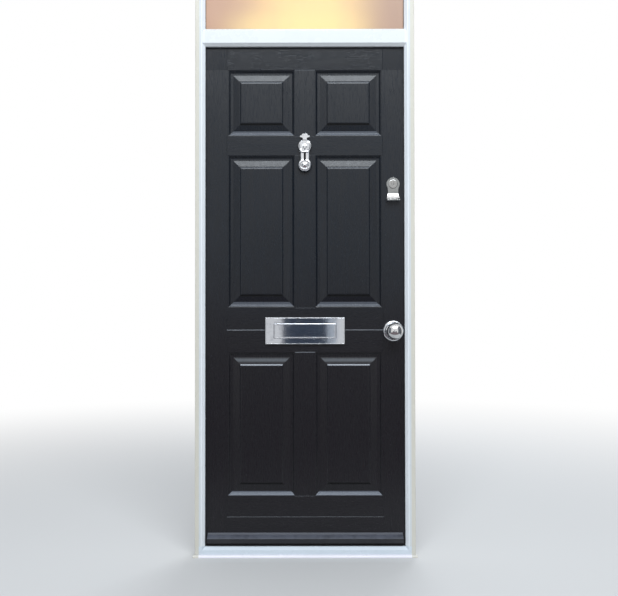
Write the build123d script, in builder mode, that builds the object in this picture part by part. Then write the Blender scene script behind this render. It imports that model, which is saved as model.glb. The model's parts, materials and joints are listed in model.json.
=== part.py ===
from build123d import *
import math
import os

os.makedirs("parts", exist_ok=True)

# Lengths are in millimetres. X runs right as seen from outside, -Y faces outside and Z is up.
# The origin is the middle of the frame's underside. The leaf is hung on the left and opens inwards.

# Outer frame
FRAME_WIDTH = 878.0
FRAME_HEIGHT = 2450.0
FRAME_DEPTH = 70.0
FACE_WIDTH = 39.0
LEG_THICKNESS = 21.0
REBATE_LAP = 16.0
FRAME_CHAMFER = 11.0
FRAME_ARRIS = 1.5
TRANSOM_HEIGHT = 70.0
FANLIGHT_HEIGHT = 298.0
HARDWARE_GROOVE = 12.0
HARDWARE_GROOVE_DEPTH = 3.0
FIXING_HOLE_RADIUS = 4.0
FIXING_LOW = 260.0
FIXING_DROP = 490.0
FOOT_TRIM = 10.0
FOOT_TRIM_OVERHANG = 6.0

# Seal between frame and leaf
SEAL_GAP = 4.0
SEAL_LIP = 2.0
SEAL_WIDTH = 11.0
SEAL_STEM = 3.0
SEAL_STEM_DEPTH = 5.0
SEAL_STEM_INSET = 3.0
SEAL_CHAMFER = 1.0
CLOSE_GAP = 0.3

# Fanlight glazing
PANE = 4.0
SPACER_WIDTH = 20.0
SPACER_HEIGHT = 9.0
SPACER_INSET = 2.0
GLAZING_GASKET = 3.0
GASKET_INSET = 1.0
GLASS_EDGE_GAP = 5.0
BEAD_CHAMFER = 9.0
PACKER_LENGTH = 100.0
PACKER_X = 290.0

# Leaf
EDGE_GAP = 4.0
LEAF_THICKNESS = 44.0
SKIN = 2.5
STILE_WIDTH = 95.0
TOP_RAIL_WIDTH = 70.0
BOTTOM_RAIL_WIDTH = 120.0

# Panel layout on the leaf, between the mouldings' outer edges
STILE_FACE = 102.5
MUNTIN_FACE = 82.0
TOP_RAIL_FACE = 104.0
UPPER_PANEL = 267.0
CROSS_RAIL_FACE = 79.0
LOCK_RAIL_FACE = 181.0
LOWER_PANEL = 573.0
BOTTOM_RAIL_FACE = 211.0
JOINT_LINE_WIDTH = 1.8
JOINT_LINE_DEPTH = 0.8
STILE_LINE_INSET = 5.0
MUNTIN_LINE_INSET = 2.0
BOTTOM_LINE_HEIGHT = 126.0

# Panel moulding, from its outer edge inwards
MOULD_DEPTH = 8.0
MOULD_STEP = 1.2
MOULD_OGEE = 12.0
OGEE_ROUNDNESS = 0.6
MOULD_GROOVE = 8.0
MOULD_BEVEL = 25.0
MOULD_BEVEL_TOP = 2.6
MOULD_QUIRK = 2.0
MOULD_QUIRK_DEPTH = 0.6
MOULD_BEAD = 4.0
MOULD_BEAD_LOW = 0.7
MOULD_FADE = 4.0
INSIDE_SPREAD = 2.0

# Hinges
HINGE_RISE = 233.0
HINGE_DROP = 235.0
HINGE_HEIGHT = 100.0
HINGE_PLATE = 3.0
KNUCKLE_RADIUS = 8.0
HINGE_PIN_RADIUS = 5.0
PIN_CLEARANCE = 0.05
PIVOT_INSET = 2.0
PIVOT_STANDOFF = 9.0
KNUCKLE_GAP = 1.0
LEAF_KNUCKLE = 38.0
LEAF_PLATE_WIDTH = 62.0
LEAF_PLATE_START = 10.0
FRAME_PLATE_MARGIN = 2.0

# Weatherbar
WEATHERBAR_END_GAP = 8.0
WEATHERBAR_RISE = 11.0
WEATHERBAR_HEIGHT = 40.0
WEATHERBAR_FLANGE = 3.0
WEATHERBAR_LIP = 7.5
WEATHERBAR_REACH = 22.0
WEATHERBAR_FALL = 19.0
WEATHERBAR_NOSE = 17.0
WEATHERBAR_WALL = 3.0
WEATHERBAR_BOW = 1.2
END_CAP = 1.5

# Letter plate
LETTER_DROP = 3.5
APERTURE_WIDTH = 240.0
APERTURE_HEIGHT = 38.0
LETTER_MARGIN_X = 40.0
LETTER_MARGIN_Z = 35.0
LETTER_THICKNESS = 11.0
LETTER_CORNER = 4.0
LETTER_CHAMFER = 3.5
LETTER_BORDER_X = 34.5
LETTER_BORDER_Z = 22.8
LETTER_FLOOR = 3.0
SLEEVE_WALL = 1.5
HOLE_CLEARANCE = 0.3
FLAP_GAP = 0.8
FLAP_EDGE = 5.0
FLAP_CROWN = 0.8
FLAP_WALL = 2.0
FLAP_RIM = 3.0
FLAP_PIN_RADIUS = 1.5
FLAP_BARREL_RADIUS = 3.1
FLAP_PIN_PROUD = 6.6
FLAP_PIN_GRIP = 4.0
INNER_PLATE = 6.0
INNER_PLATE_CHAMFER = 1.5
INNER_FLAP_LAP_X = 6.0
INNER_FLAP_LAP_Z = 13.0
INNER_FLAP_THICKNESS = 3.5
INNER_FLAP_LIP = 1.0
INNER_FLAP_SLOPE = 2.0
INNER_BARREL_RADIUS = 2.8
INNER_PIN_PROUD = 9.4
INNER_LUG = 7.0
INNER_LUG_WALL = 1.0
LETTER_BOLT_RADIUS = 2.5
LETTER_BOLT_GAP = 12.0
LETTER_BOLT_HEAD_RADIUS = 4.2
BOLT_HEAD_RADIUS = 6.0
BOLT_HEAD = 3.0

# Knocker
KNOCKER_DROP = 3.5
ROSE_RADIUS = 28.0
ROSE_RIM = 4.0
ROSE_PROUD = 18.0
ROSE_CROWN_RADIUS = 18.0
ROSE_SHOULDER = (13.2, 24.8)
ROSE_SLOT = 19.0
ROSE_SLOT_FLOOR = 2.5
ARM_PIVOT_PROUD = 10.0
ARM_PIN_RADIUS = 2.5
ARM_PIN_LENGTH = 44.0
ARM_BARREL_RADIUS = 7.0
ARM_NECK_WIDTH = 18.0
ARM_WIDTH = 33.0
ARM_BACK = 9.5
ARM_THICKNESS = 9.0
ARM_BEVEL = 2.0
ARM_SHOULDER = 21.0
SHOULDER_GAP = 2.0
ARM_SLOT_WIDTH = 8.5
ARM_SLOT_TOP = 27.6
ARM_SLOT_LOW = 59.6
STRIKER_DROP = 76.6
STRIKER_RADIUS = 9.0
STRIKER_BASE_RADIUS = 15.0
STRIKER_BASE = 2.0
STRIKER_BASE_TAPER = 1.5
STRIKE_DISC_RADIUS = 27.0
STRIKE_DISC_PROUD = 24.0
STRIKE_BOSS_RADIUS = 11.5
STRIKE_BOSS_DOME = 3.5
STRIKE_EDGE = 3.0
STRIKE_RIM = 9.0
STRIKE_RIM_RISE = 1.5
STRIKE_DISH = 1.0
STRIKE_DISH_FLAT = 2.0
FINIAL_TOP = 51.0
FINIAL_HALF_WIDTH = 19.5
FINIAL_THICKNESS = 8.0
FINIAL_SINK = 2.0

# One side of the finial, as shares of its half width and of its height above the pivot
FINIAL_NECK = (0.42, 0.66)
FINIAL_EAR = (1.0, 0.73)
FINIAL_EAR_BOW = (0.92, 0.84)
FINIAL_NOTCH = (0.62, 0.84)
FINIAL_PETAL = (0.34, 1.0)
FINIAL_DIP = (0.0, 0.94)

# Pull knob
LOCK_BACKSET = 57.0
KNOB_DROP = 4.5
KNOB_ROSE_RADIUS = 42.0
KNOB_ROSE_THICKNESS = 8.0
KNOB_ROSE_EDGE = 2.0
KNOB_ROSE_RIM = 6.0
KNOB_ROSE_DISH = 12.0
KNOB_ROSE_DIP = 1.5
KNOB_ROSE_STEP = 8.0
KNOB_COLLAR = 5.0
KNOB_RADIUS = 32.5
KNOB_HALF_DEPTH = 25.0
KNOB_CAP_RADIUS = 40.0
KNOB_PROJECTION = 82.0
KNOB_NECK_RADIUS = 12.0
KNOB_NECK_START = 10.0
KNOB_BOLT_RADIUS = 4.0
KNOB_BOLT_REACH = 24.0
KNOB_BOLT_HEAD_RADIUS = 12.0
KNOB_BOLT_HEAD = 4.0

# Cylinder and its pull
CYLINDER_RISE = 586.0
PULL_TOP_RADIUS = 26.5
PULL_WAIST = 41.5
PULL_WAIST_DROP = 34.0
PULL_LIP_WIDTH = 55.0
PULL_LIP_DROP = 68.5
PULL_NECK = math.radians(32)
PULL_CORNER = 8.0
PULL_PLATE = 7.0
PULL_REACH = 27.0
PULL_CURL = 4.0
PULL_LIP = 4.5
PULL_LIP_CHAMFER = 3.5
PULL_UNDER_BOW = (0.28, 4.5)
PULL_FACE_BOW = (0.46, 1.0)
PULL_CORNER_BEND = (0.3, 0.2)
CYLINDER_RADIUS = 16.0
CYLINDER_FLANGE = 2.0
CYLINDER_FLANGE_LAP = 2.0
CYLINDER_CHAMFER = 0.8
PLUG_RADIUS = 6.5
KEYWAY_WIDTH = 1.8
KEYWAY_HEIGHT = 9.0
KEYWAY_DEPTH = 4.0
TAIL_WIDTH = 8.0
TAIL_THICKNESS = 2.5
TAIL_REACH = 11.0

# Night latch on the room side, measured in from the leaf's inner face
CASE_EDGE_GAP = 1.0
CASE_LENGTH = 93.0
CASE_HEIGHT = 66.0
CASE_DEPTH = 28.0
CASE_WALL = 3.0
CASE_CORNER = 4.5
CASE_CHAMFER = 1.5
BOLT_LENGTH = 35.0
BOLT_HEIGHT = 20.0
BOLT_DEPTH = 16.0
BOLT_START = 6.0
BOLT_BEVEL = 7.0
BOLT_CLEARANCE = 0.3
TAIL_START = 12.5
BOLT_TAIL = 4.5
TAIL_NECK = 6.0
TAIL_NECK_DROP = 4.0
TAIL_FLOOR = 2.5
CAM_START = 17.5
CAM_PLATE = 3.0
TURN_SWING = 60.0
CAM_ARM = 14.0
CAM_TIP_RADIUS = 2.0
CAM_SLOT = 5.2
CAM_SLOT_FOOT = 1.0
CAM_END_RADIUS = 3.2
CAM_WIDTH = 6.0
TURN_SHAFT_RADIUS = 5.0
TURN_LENGTH = 36.0
TURN_WIDTH = 15.0
TURN_PROUD = 18.0
TURN_CHAMFER = 2.5
TURN_BOSS_RADIUS = 12.0
TURN_BOSS = 5.4
SNIB_OFFSET = 34.0
SNIB_TRAVEL = 8.0
SNIB_STEM = 4.4
SNIB_STEM_HEIGHT = 8.8
SNIB_BUTTON_LENGTH = 15.4
SNIB_BUTTON_WIDTH = 8.8
STAPLE_MARGIN = 1.0
STAPLE_HEIGHT = 62.0
STAPLE_WALL = 4.0
STAPLE_DEPTH = 27.0

# Levels and planes worked out from the sizes above
FRAME_FRONT = -FRAME_DEPTH / 2
FRAME_BACK = FRAME_DEPTH / 2
OPEN_HALF = FRAME_WIDTH / 2 - FACE_WIDTH
POCKET_HALF = OPEN_HALF + REBATE_LAP
OPEN_BOTTOM = FACE_WIDTH
POCKET_BOTTOM = OPEN_BOTTOM - REBATE_LAP
HEAD_BOTTOM = FRAME_HEIGHT - FACE_WIDTH
TRANSOM_TOP = HEAD_BOTTOM - FANLIGHT_HEIGHT
TRANSOM_BOTTOM = TRANSOM_TOP - TRANSOM_HEIGHT
POCKET_TOP = HEAD_BOTTOM + REBATE_LAP
LEG_BACK = FRAME_FRONT + LEG_THICKNESS
FIXING_Y = (LEG_BACK + FRAME_BACK) / 2
FIXING_HIGH = FRAME_HEIGHT - FIXING_DROP

LEAF_FRONT = LEG_BACK + SEAL_GAP
LEAF_BACK = LEAF_FRONT + LEAF_THICKNESS
LEAF_MIDDLE = (LEAF_FRONT + LEAF_BACK) / 2
LEAF_HALF = POCKET_HALF - EDGE_GAP
LEAF_BOTTOM = POCKET_BOTTOM + EDGE_GAP
LEAF_TOP = TRANSOM_BOTTOM + REBATE_LAP - EDGE_GAP
LEAF_HEIGHT = LEAF_TOP - LEAF_BOTTOM
LEAF_CENTRE = (LEAF_TOP + LEAF_BOTTOM) / 2
CORE_FRONT = LEAF_FRONT + SKIN
CORE_BACK = LEAF_BACK - SKIN
CORE_DEPTH = CORE_BACK - CORE_FRONT

PANEL_EDGE = LEAF_HALF - STILE_FACE
PANEL_WIDTH = PANEL_EDGE - MUNTIN_FACE / 2
PANEL_CENTRE = (PANEL_EDGE + MUNTIN_FACE / 2) / 2
LOWER_ROW = (LEAF_BOTTOM + BOTTOM_RAIL_FACE, LEAF_BOTTOM + BOTTOM_RAIL_FACE + LOWER_PANEL)
UPPER_ROW = (LEAF_TOP - TOP_RAIL_FACE - UPPER_PANEL, LEAF_TOP - TOP_RAIL_FACE)
MIDDLE_ROW = (LOWER_ROW[1] + LOCK_RAIL_FACE, UPPER_ROW[0] - CROSS_RAIL_FACE)
PANEL_ROWS = (LOWER_ROW, MIDDLE_ROW, UPPER_ROW)

PIVOT_X = -LEAF_HALF - PIVOT_INSET
PIVOT_Y = FRAME_BACK + PIVOT_STANDOFF
LOCK_RAIL_CENTRE = (LOWER_ROW[1] + MIDDLE_ROW[0]) / 2
CROSS_RAIL_CENTRE = (MIDDLE_ROW[1] + UPPER_ROW[0]) / 2
LETTER_Z = LOCK_RAIL_CENTRE - LETTER_DROP
KNOB_X = LEAF_HALF - LOCK_BACKSET
KNOB_Z = LOCK_RAIL_CENTRE - KNOB_DROP
KNOCKER_Z = CROSS_RAIL_CENTRE - KNOCKER_DROP
STRIKER_Z = KNOCKER_Z - STRIKER_DROP
CYLINDER_HEIGHT = LOCK_RAIL_CENTRE + CYLINDER_RISE
HINGE_LOWEST = LEAF_BOTTOM + HINGE_RISE
HINGE_HIGHEST = LEAF_TOP - HINGE_DROP
HINGE_HEIGHTS = (HINGE_LOWEST, (HINGE_LOWEST + HINGE_HIGHEST) / 2, HINGE_HIGHEST)

LETTER_WIDTH = APERTURE_WIDTH + 2 * LETTER_MARGIN_X
LETTER_HEIGHT = APERTURE_HEIGHT + 2 * LETTER_MARGIN_Z
LETTER_BOLT_X = APERTURE_WIDTH / 2 + LETTER_BOLT_GAP
INNER_FLAP_WIDTH = APERTURE_WIDTH + 2 * INNER_FLAP_LAP_X
INNER_FLAP_HEIGHT = APERTURE_HEIGHT + 2 * INNER_FLAP_LAP_Z


def facing_out(y):
    """A plane across the doorway at this y, seen from outside: X to the right, Z up, normal outwards."""
    return Plane.XZ.offset(-y)


def out_from_leaf(proud):
    """The same plane at this distance in front of the leaf's outer face."""
    return facing_out(LEAF_FRONT - proud)


def in_from_leaf(depth):
    """The same plane at this distance behind the leaf's inner face."""
    return facing_out(LEAF_BACK + depth)


def turning_plane(x, z):
    """A plane through a turned part's axis: across is the distance out from the leaf, up is the radius."""
    return Plane(origin=(x, LEAF_FRONT, z), x_dir=(0, -1, 0), z_dir=(1, 0, 0))


def turning_axis(x, z):
    """The axis of a turned part that stands out from the leaf."""
    return Axis((x, LEAF_FRONT, z), (0, -1, 0))


def across_plane(x, y, z):
    """A plane square to X, for pins and barrels that lie across the door."""
    return Plane(origin=(x, y, z), x_dir=(0, 1, 0), z_dir=(1, 0, 0))


def finish(piece, name):
    """Label a finished piece and write it."""
    piece.part.label = name
    export_step(piece.part, f"parts/{name}.step")


# Groove for the seal's stem, all round the door opening in the back of the leg
OPENING_HEIGHT = TRANSOM_BOTTOM - OPEN_BOTTOM
OPENING_CENTRE = (TRANSOM_BOTTOM + OPEN_BOTTOM) / 2
with BuildPart() as stem_groove:
    with BuildSketch(facing_out(LEG_BACK)):
        with Locations((0, OPENING_CENTRE)):
            far = 2 * (SEAL_STEM_INSET + SEAL_STEM)
            near = 2 * SEAL_STEM_INSET
            Rectangle(2 * OPEN_HALF + far, OPENING_HEIGHT + far)
            Rectangle(2 * OPEN_HALF + near, OPENING_HEIGHT + near, mode=Mode.SUBTRACT)
    extrude(amount=SEAL_STEM_DEPTH)

# Outer frame: four welded lengths of one rebated profile
FRAME_OPENING = HEAD_BOTTOM - OPEN_BOTTOM
FRAME_OPENING_CENTRE = (HEAD_BOTTOM + OPEN_BOTTOM) / 2
with BuildPart() as outer_frame:
    with BuildSketch(facing_out(FRAME_BACK)):
        with Locations((0, FRAME_HEIGHT / 2)):
            Rectangle(FRAME_WIDTH, FRAME_HEIGHT)
    extrude(amount=FRAME_DEPTH)
    with BuildSketch(facing_out(FRAME_BACK)):
        with Locations((0, FRAME_OPENING_CENTRE)):
            Rectangle(2 * POCKET_HALF, FRAME_OPENING + 2 * REBATE_LAP)
    extrude(amount=FRAME_BACK - LEG_BACK, mode=Mode.SUBTRACT)
    with BuildSketch(facing_out(LEG_BACK)):
        with Locations((0, FRAME_OPENING_CENTRE)):
            Rectangle(2 * OPEN_HALF, FRAME_OPENING)
    extrude(amount=LEG_THICKNESS, mode=Mode.SUBTRACT)
    chamfer(faces().sort_by(Axis.Y)[0].inner_wires()[0].edges(), length=FRAME_CHAMFER)
    chamfer(faces().sort_by(Axis.Y)[0].outer_wire().edges(), length=FRAME_ARRIS)
    add(stem_groove.part, mode=Mode.SUBTRACT)
    for side in (-1, 1):
        with BuildSketch(Plane.XY.offset(POCKET_BOTTOM)):
            with Locations((side * POCKET_HALF, FIXING_Y)):
                Rectangle(2 * HARDWARE_GROOVE_DEPTH, HARDWARE_GROOVE)
        extrude(amount=TRANSOM_BOTTOM - POCKET_BOTTOM, mode=Mode.SUBTRACT)
        for height in (FIXING_LOW, FIXING_HIGH):
            with BuildSketch(Plane.YZ.offset(side * FRAME_WIDTH / 2)):
                with Locations((FIXING_Y, height)):
                    Circle(FIXING_HOLE_RADIUS)
            extrude(amount=-side * (FRAME_WIDTH / 2 - POCKET_HALF), mode=Mode.SUBTRACT)
finish(outer_frame, "outer_frame")

# Transom: a rebated cross member whose ends are scribed over the jambs
JAMB_LINE = OPEN_HALF + FRAME_CHAMFER
TRANSOM_CENTRE = (TRANSOM_BOTTOM + TRANSOM_TOP) / 2
with BuildPart() as transom:
    with BuildSketch(facing_out(FRAME_BACK)):
        with Locations((0, TRANSOM_CENTRE)):
            Rectangle(2 * POCKET_HALF, TRANSOM_HEIGHT - 2 * REBATE_LAP)
    extrude(amount=FRAME_BACK - LEG_BACK)
    with BuildSketch(facing_out(LEG_BACK)):
        with Locations((0, TRANSOM_CENTRE)):
            Rectangle(2 * JAMB_LINE, TRANSOM_HEIGHT)
    extrude(amount=LEG_THICKNESS)
    chamfer(faces().sort_by(Axis.Y)[0].edges().filter_by(Axis.X), length=FRAME_CHAMFER)
    add(outer_frame.part, mode=Mode.SUBTRACT)
    add(stem_groove.part, mode=Mode.SUBTRACT)
finish(transom, "transom")

# Quadrant strip along the foot of the frame
with BuildPart() as threshold_trim:
    with BuildSketch(Plane.YZ):
        with BuildLine():
            Polyline((FRAME_FRONT, FOOT_TRIM), (FRAME_FRONT, 0), (FRAME_FRONT - FOOT_TRIM, 0))
            RadiusArc((FRAME_FRONT - FOOT_TRIM, 0), (FRAME_FRONT, FOOT_TRIM), FOOT_TRIM)
        make_face()
    extrude(amount=FRAME_WIDTH / 2 + FOOT_TRIM_OVERHANG, both=True)
finish(threshold_trim, "threshold_trim")

# Compression seal, its stem pressed into the leg
SEAL_FACE = LEAF_FRONT - CLOSE_GAP
SEAL_OUTER = SEAL_WIDTH - SEAL_LIP
with BuildPart() as door_seal:
    with BuildSketch(facing_out(SEAL_FACE)):
        with Locations((0, OPENING_CENTRE)):
            Rectangle(2 * (OPEN_HALF + SEAL_OUTER), OPENING_HEIGHT + 2 * SEAL_OUTER)
            Rectangle(2 * (OPEN_HALF - SEAL_LIP), OPENING_HEIGHT - 2 * SEAL_LIP, mode=Mode.SUBTRACT)
    extrude(amount=SEAL_FACE - LEG_BACK)
    chamfer(faces().sort_by(Axis.Y)[-1].edges(), length=SEAL_CHAMFER)
    add(stem_groove.part)
finish(door_seal, "door_seal")

# Sealed double glazing in the fanlight
GLASS_BOTTOM = TRANSOM_TOP - REBATE_LAP + GLASS_EDGE_GAP
GLASS_TOP = POCKET_TOP - GLASS_EDGE_GAP
GLASS_HALF = POCKET_HALF - GLASS_EDGE_GAP
GLASS_HEIGHT = GLASS_TOP - GLASS_BOTTOM
GLASS_CENTRE = (GLASS_BOTTOM + GLASS_TOP) / 2
OUTER_PANE_BACK = LEG_BACK + GLAZING_GASKET + PANE
INNER_PANE_BACK = OUTER_PANE_BACK + SPACER_WIDTH + PANE
BEAD_FRONT = INNER_PANE_BACK + GLAZING_GASKET

for name, back in (("glass_outer_pane", OUTER_PANE_BACK), ("glass_inner_pane", INNER_PANE_BACK)):
    with BuildPart() as pane:
        with BuildSketch(facing_out(back)):
            with Locations((0, GLASS_CENTRE)):
                Rectangle(2 * GLASS_HALF, GLASS_HEIGHT)
        extrude(amount=PANE)
    finish(pane, name)

with BuildPart() as glass_spacer:
    with BuildSketch(facing_out(OUTER_PANE_BACK + SPACER_WIDTH)):
        with Locations((0, GLASS_CENTRE)):
            inner_inset = SPACER_INSET + SPACER_HEIGHT
            Rectangle(2 * (GLASS_HALF - SPACER_INSET), GLASS_HEIGHT - 2 * SPACER_INSET)
            Rectangle(2 * (GLASS_HALF - inner_inset), GLASS_HEIGHT - 2 * inner_inset, mode=Mode.SUBTRACT)
    extrude(amount=SPACER_WIDTH)
finish(glass_spacer, "glass_spacer")

with BuildPart() as glazing_gaskets:
    for gasket_back in (OUTER_PANE_BACK - PANE, BEAD_FRONT):
        with BuildSketch(facing_out(gasket_back)):
            with Locations((0, GLASS_CENTRE)):
                Rectangle(2 * GLASS_HALF, GLASS_HEIGHT)
                Rectangle(
                    2 * (OPEN_HALF - GASKET_INSET), FANLIGHT_HEIGHT - 2 * GASKET_INSET, mode=Mode.SUBTRACT
                )
        extrude(amount=GLAZING_GASKET)
finish(glazing_gaskets, "glazing_gaskets")

PACKER_Y = (OUTER_PANE_BACK - PANE + INNER_PANE_BACK) / 2
with BuildPart() as glazing_packers:
    for packer_bottom in (GLASS_BOTTOM - GLASS_EDGE_GAP, GLASS_TOP):
        with BuildSketch(Plane.XY.offset(packer_bottom)):
            with Locations((-PACKER_X, PACKER_Y), (PACKER_X, PACKER_Y)):
                Rectangle(PACKER_LENGTH, 2 * PANE + SPACER_WIDTH)
        extrude(amount=GLASS_EDGE_GAP)
finish(glazing_packers, "glazing_packers")

# Glazing beads on the room side, mitred at the corners
BEAD_BOTTOM = TRANSOM_TOP - REBATE_LAP
with BuildPart() as bead_ring:
    with BuildSketch(facing_out(FRAME_BACK)):
        with Locations((0, (BEAD_BOTTOM + POCKET_TOP) / 2)):
            Rectangle(2 * POCKET_HALF, POCKET_TOP - BEAD_BOTTOM)
            Rectangle(2 * OPEN_HALF, FANLIGHT_HEIGHT, mode=Mode.SUBTRACT)
    extrude(amount=FRAME_BACK - BEAD_FRONT)
    chamfer(faces().sort_by(Axis.Y)[-1].inner_wires()[0].edges(), length=BEAD_CHAMFER)

BEAD_CORNERS = {
    "glazing_bead_left": ((-1, -1), (-1, 1)),
    "glazing_bead_right": ((1, -1), (1, 1)),
    "glazing_bead_top": ((-1, 1), (1, 1)),
    "glazing_bead_bottom": ((-1, -1), (1, -1)),
}
BEAD_HALF_HEIGHT = (POCKET_TOP - BEAD_BOTTOM) / 2
for name, corners in BEAD_CORNERS.items():
    outer = [(x * POCKET_HALF, GLASS_CENTRE + z * BEAD_HALF_HEIGHT) for x, z in corners]
    inner = [(x * OPEN_HALF, GLASS_CENTRE + z * FANLIGHT_HEIGHT / 2) for x, z in corners]
    with BuildPart() as glazing_bead:
        with BuildSketch(facing_out(FRAME_BACK)):
            with BuildLine():
                Polyline(outer[0], outer[1], inner[1], inner[0], close=True)
            make_face()
        extrude(amount=FRAME_BACK - BEAD_FRONT)
        add(bead_ring.part, mode=Mode.INTERSECT)
    finish(glazing_bead, name)

# Panel mouldings: the face trench has the pressed ogee, the inside one follows it plainly
FLAT_END = MOULD_OGEE + MOULD_GROOVE
BEVEL_END = FLAT_END + MOULD_BEVEL
QUIRK_END = BEVEL_END + MOULD_QUIRK
BEAD_END = QUIRK_END + MOULD_BEAD
MOULD_WIDTH = BEAD_END + MOULD_FADE
QUIRK_LOW = MOULD_BEVEL_TOP + MOULD_QUIRK_DEPTH
OGEE_FLEX = (MOULD_OGEE / 2, (MOULD_STEP + MOULD_DEPTH) / 2)
OGEE_RADIUS = MOULD_OGEE * OGEE_ROUNDNESS
ABOVE = 1.0


def panel_outlines():
    """Each panel's moulding edge, a rectangle from the middle of its bottom and back."""
    for low, high in PANEL_ROWS:
        for side in (-1, 1):
            x = side * PANEL_CENTRE
            left, right = x - PANEL_WIDTH / 2, x + PANEL_WIDTH / 2
            yield [(x, low), (left, low), (left, high), (right, high), (right, low), (x, low)]


def moulding_plane(x, z):
    """Square to the bottom edge: across is the distance in from the edge, up is the depth."""
    return Plane(origin=(x, LEAF_FRONT, z), x_dir=(0, 0, 1), z_dir=(-1, 0, 0))


with BuildPart() as face_trenches:
    for outline in panel_outlines():
        with BuildLine(facing_out(LEAF_FRONT)) as edge:
            Polyline(*outline)
        with BuildSketch(moulding_plane(*outline[0])):
            with BuildLine():
                RadiusArc((0, MOULD_STEP), OGEE_FLEX, -OGEE_RADIUS)
                RadiusArc(OGEE_FLEX, (MOULD_OGEE, MOULD_DEPTH), OGEE_RADIUS)
                Polyline(
                    (MOULD_OGEE, MOULD_DEPTH),
                    (FLAT_END, MOULD_DEPTH),
                    (BEVEL_END, MOULD_BEVEL_TOP),
                    (QUIRK_END, QUIRK_LOW),
                    (BEAD_END, MOULD_BEAD_LOW),
                    (MOULD_WIDTH, 0),
                    (MOULD_WIDTH, -ABOVE),
                    (0, -ABOVE),
                    (0, MOULD_STEP),
                )
            make_face()
        sweep(path=edge.wire(), transition=Transition.RIGHT)

with BuildPart() as inside_trenches:
    for outline in panel_outlines():
        with BuildLine(facing_out(LEAF_FRONT)) as edge:
            Polyline(*outline)
        with BuildSketch(moulding_plane(*outline[0])):
            with BuildLine():
                Polyline(
                    (-INSIDE_SPREAD, SKIN - ABOVE),
                    (-INSIDE_SPREAD, SKIN),
                    (MOULD_OGEE - INSIDE_SPREAD, SKIN + MOULD_DEPTH),
                    (FLAT_END + INSIDE_SPREAD, SKIN + MOULD_DEPTH),
                    (QUIRK_END, SKIN + MOULD_BEVEL_TOP),
                    (MOULD_WIDTH, SKIN),
                    (MOULD_WIDTH, SKIN - ABOVE),
                    close=True,
                )
            make_face()
        sweep(path=edge.wire(), transition=Transition.RIGHT)

# Fine V lines pressed in the skin where stiles, rails and muntins meet
STILE_LINE = PANEL_EDGE + STILE_LINE_INSET
rail_levels = [
    (LEAF_BOTTOM, LOWER_ROW[0]),
    (LOWER_ROW[1], MIDDLE_ROW[0]),
    (MIDDLE_ROW[1], UPPER_ROW[0]),
    (UPPER_ROW[1], LEAF_TOP),
]
muntin_ends = [(low - MUNTIN_LINE_INSET, high + MUNTIN_LINE_INSET) for low, high in PANEL_ROWS]
V_POINTS = (
    (-JOINT_LINE_WIDTH, JOINT_LINE_DEPTH),
    (JOINT_LINE_WIDTH, JOINT_LINE_DEPTH),
    (0, -JOINT_LINE_DEPTH),
)
with BuildPart() as joint_lines:
    for low, high in rail_levels:
        for side in (-1, 1):
            start = Plane(origin=(side * STILE_LINE, LEAF_FRONT, low), x_dir=(1, 0, 0), z_dir=(0, 0, 1))
            with BuildSketch(start):
                with BuildLine():
                    Polyline(*[(across, -up) for across, up in V_POINTS], close=True)
                make_face()
            extrude(amount=high - low)
    cross_lines = [(LOCK_RAIL_CENTRE, STILE_LINE), (LEAF_BOTTOM + BOTTOM_LINE_HEIGHT, STILE_LINE)]
    cross_lines += [(z, MUNTIN_FACE / 2) for ends in muntin_ends for z in ends]
    for z, reach in cross_lines:
        with BuildSketch(Plane(origin=(0, LEAF_FRONT, z), x_dir=(0, 0, 1), z_dir=(1, 0, 0))):
            with BuildLine():
                Polyline(*V_POINTS, close=True)
            make_face()
        extrude(amount=reach, both=True)

# Holes right through the leaf for its hardware
SLOT_WIDTH = APERTURE_WIDTH + 2 * (SLEEVE_WALL + HOLE_CLEARANCE)
SLOT_HEIGHT = APERTURE_HEIGHT + 2 * (SLEEVE_WALL + HOLE_CLEARANCE)
BOLT_PLACES = [
    (-LETTER_BOLT_X, LETTER_Z),
    (LETTER_BOLT_X, LETTER_Z),
    (0, KNOCKER_Z),
    (0, STRIKER_Z),
]
with BuildPart() as leaf_holes:
    with BuildSketch(in_from_leaf(ABOVE)):
        with Locations((0, LETTER_Z)):
            Rectangle(SLOT_WIDTH, SLOT_HEIGHT)
        with Locations(*BOLT_PLACES):
            Circle(LETTER_BOLT_RADIUS + HOLE_CLEARANCE)
        with Locations((KNOB_X, KNOB_Z)):
            Circle(KNOB_BOLT_RADIUS + HOLE_CLEARANCE)
        with Locations((KNOB_X, CYLINDER_HEIGHT)):
            Circle(CYLINDER_RADIUS + HOLE_CLEARANCE)
    extrude(amount=LEAF_THICKNESS + 2 * ABOVE)

# Moulded skins, the inner one the mirror of the outer
with BuildPart() as blank_skin:
    with BuildSketch(facing_out(CORE_FRONT)):
        with Locations((0, LEAF_CENTRE)):
            Rectangle(2 * LEAF_HALF, LEAF_HEIGHT)
    extrude(amount=SKIN)
    add(inside_trenches.part)
    add(face_trenches.part, mode=Mode.SUBTRACT)
    add(joint_lines.part, mode=Mode.SUBTRACT)

with BuildPart() as leaf_outer_skin:
    add(blank_skin.part)
    add(leaf_holes.part, mode=Mode.SUBTRACT)
finish(leaf_outer_skin, "leaf_outer_skin")

mirrored_skin = blank_skin.part.mirror(facing_out(LEAF_MIDDLE))
with BuildPart() as leaf_inner_skin:
    add(mirrored_skin)
    add(leaf_holes.part, mode=Mode.SUBTRACT)
finish(leaf_inner_skin, "leaf_inner_skin")

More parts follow.
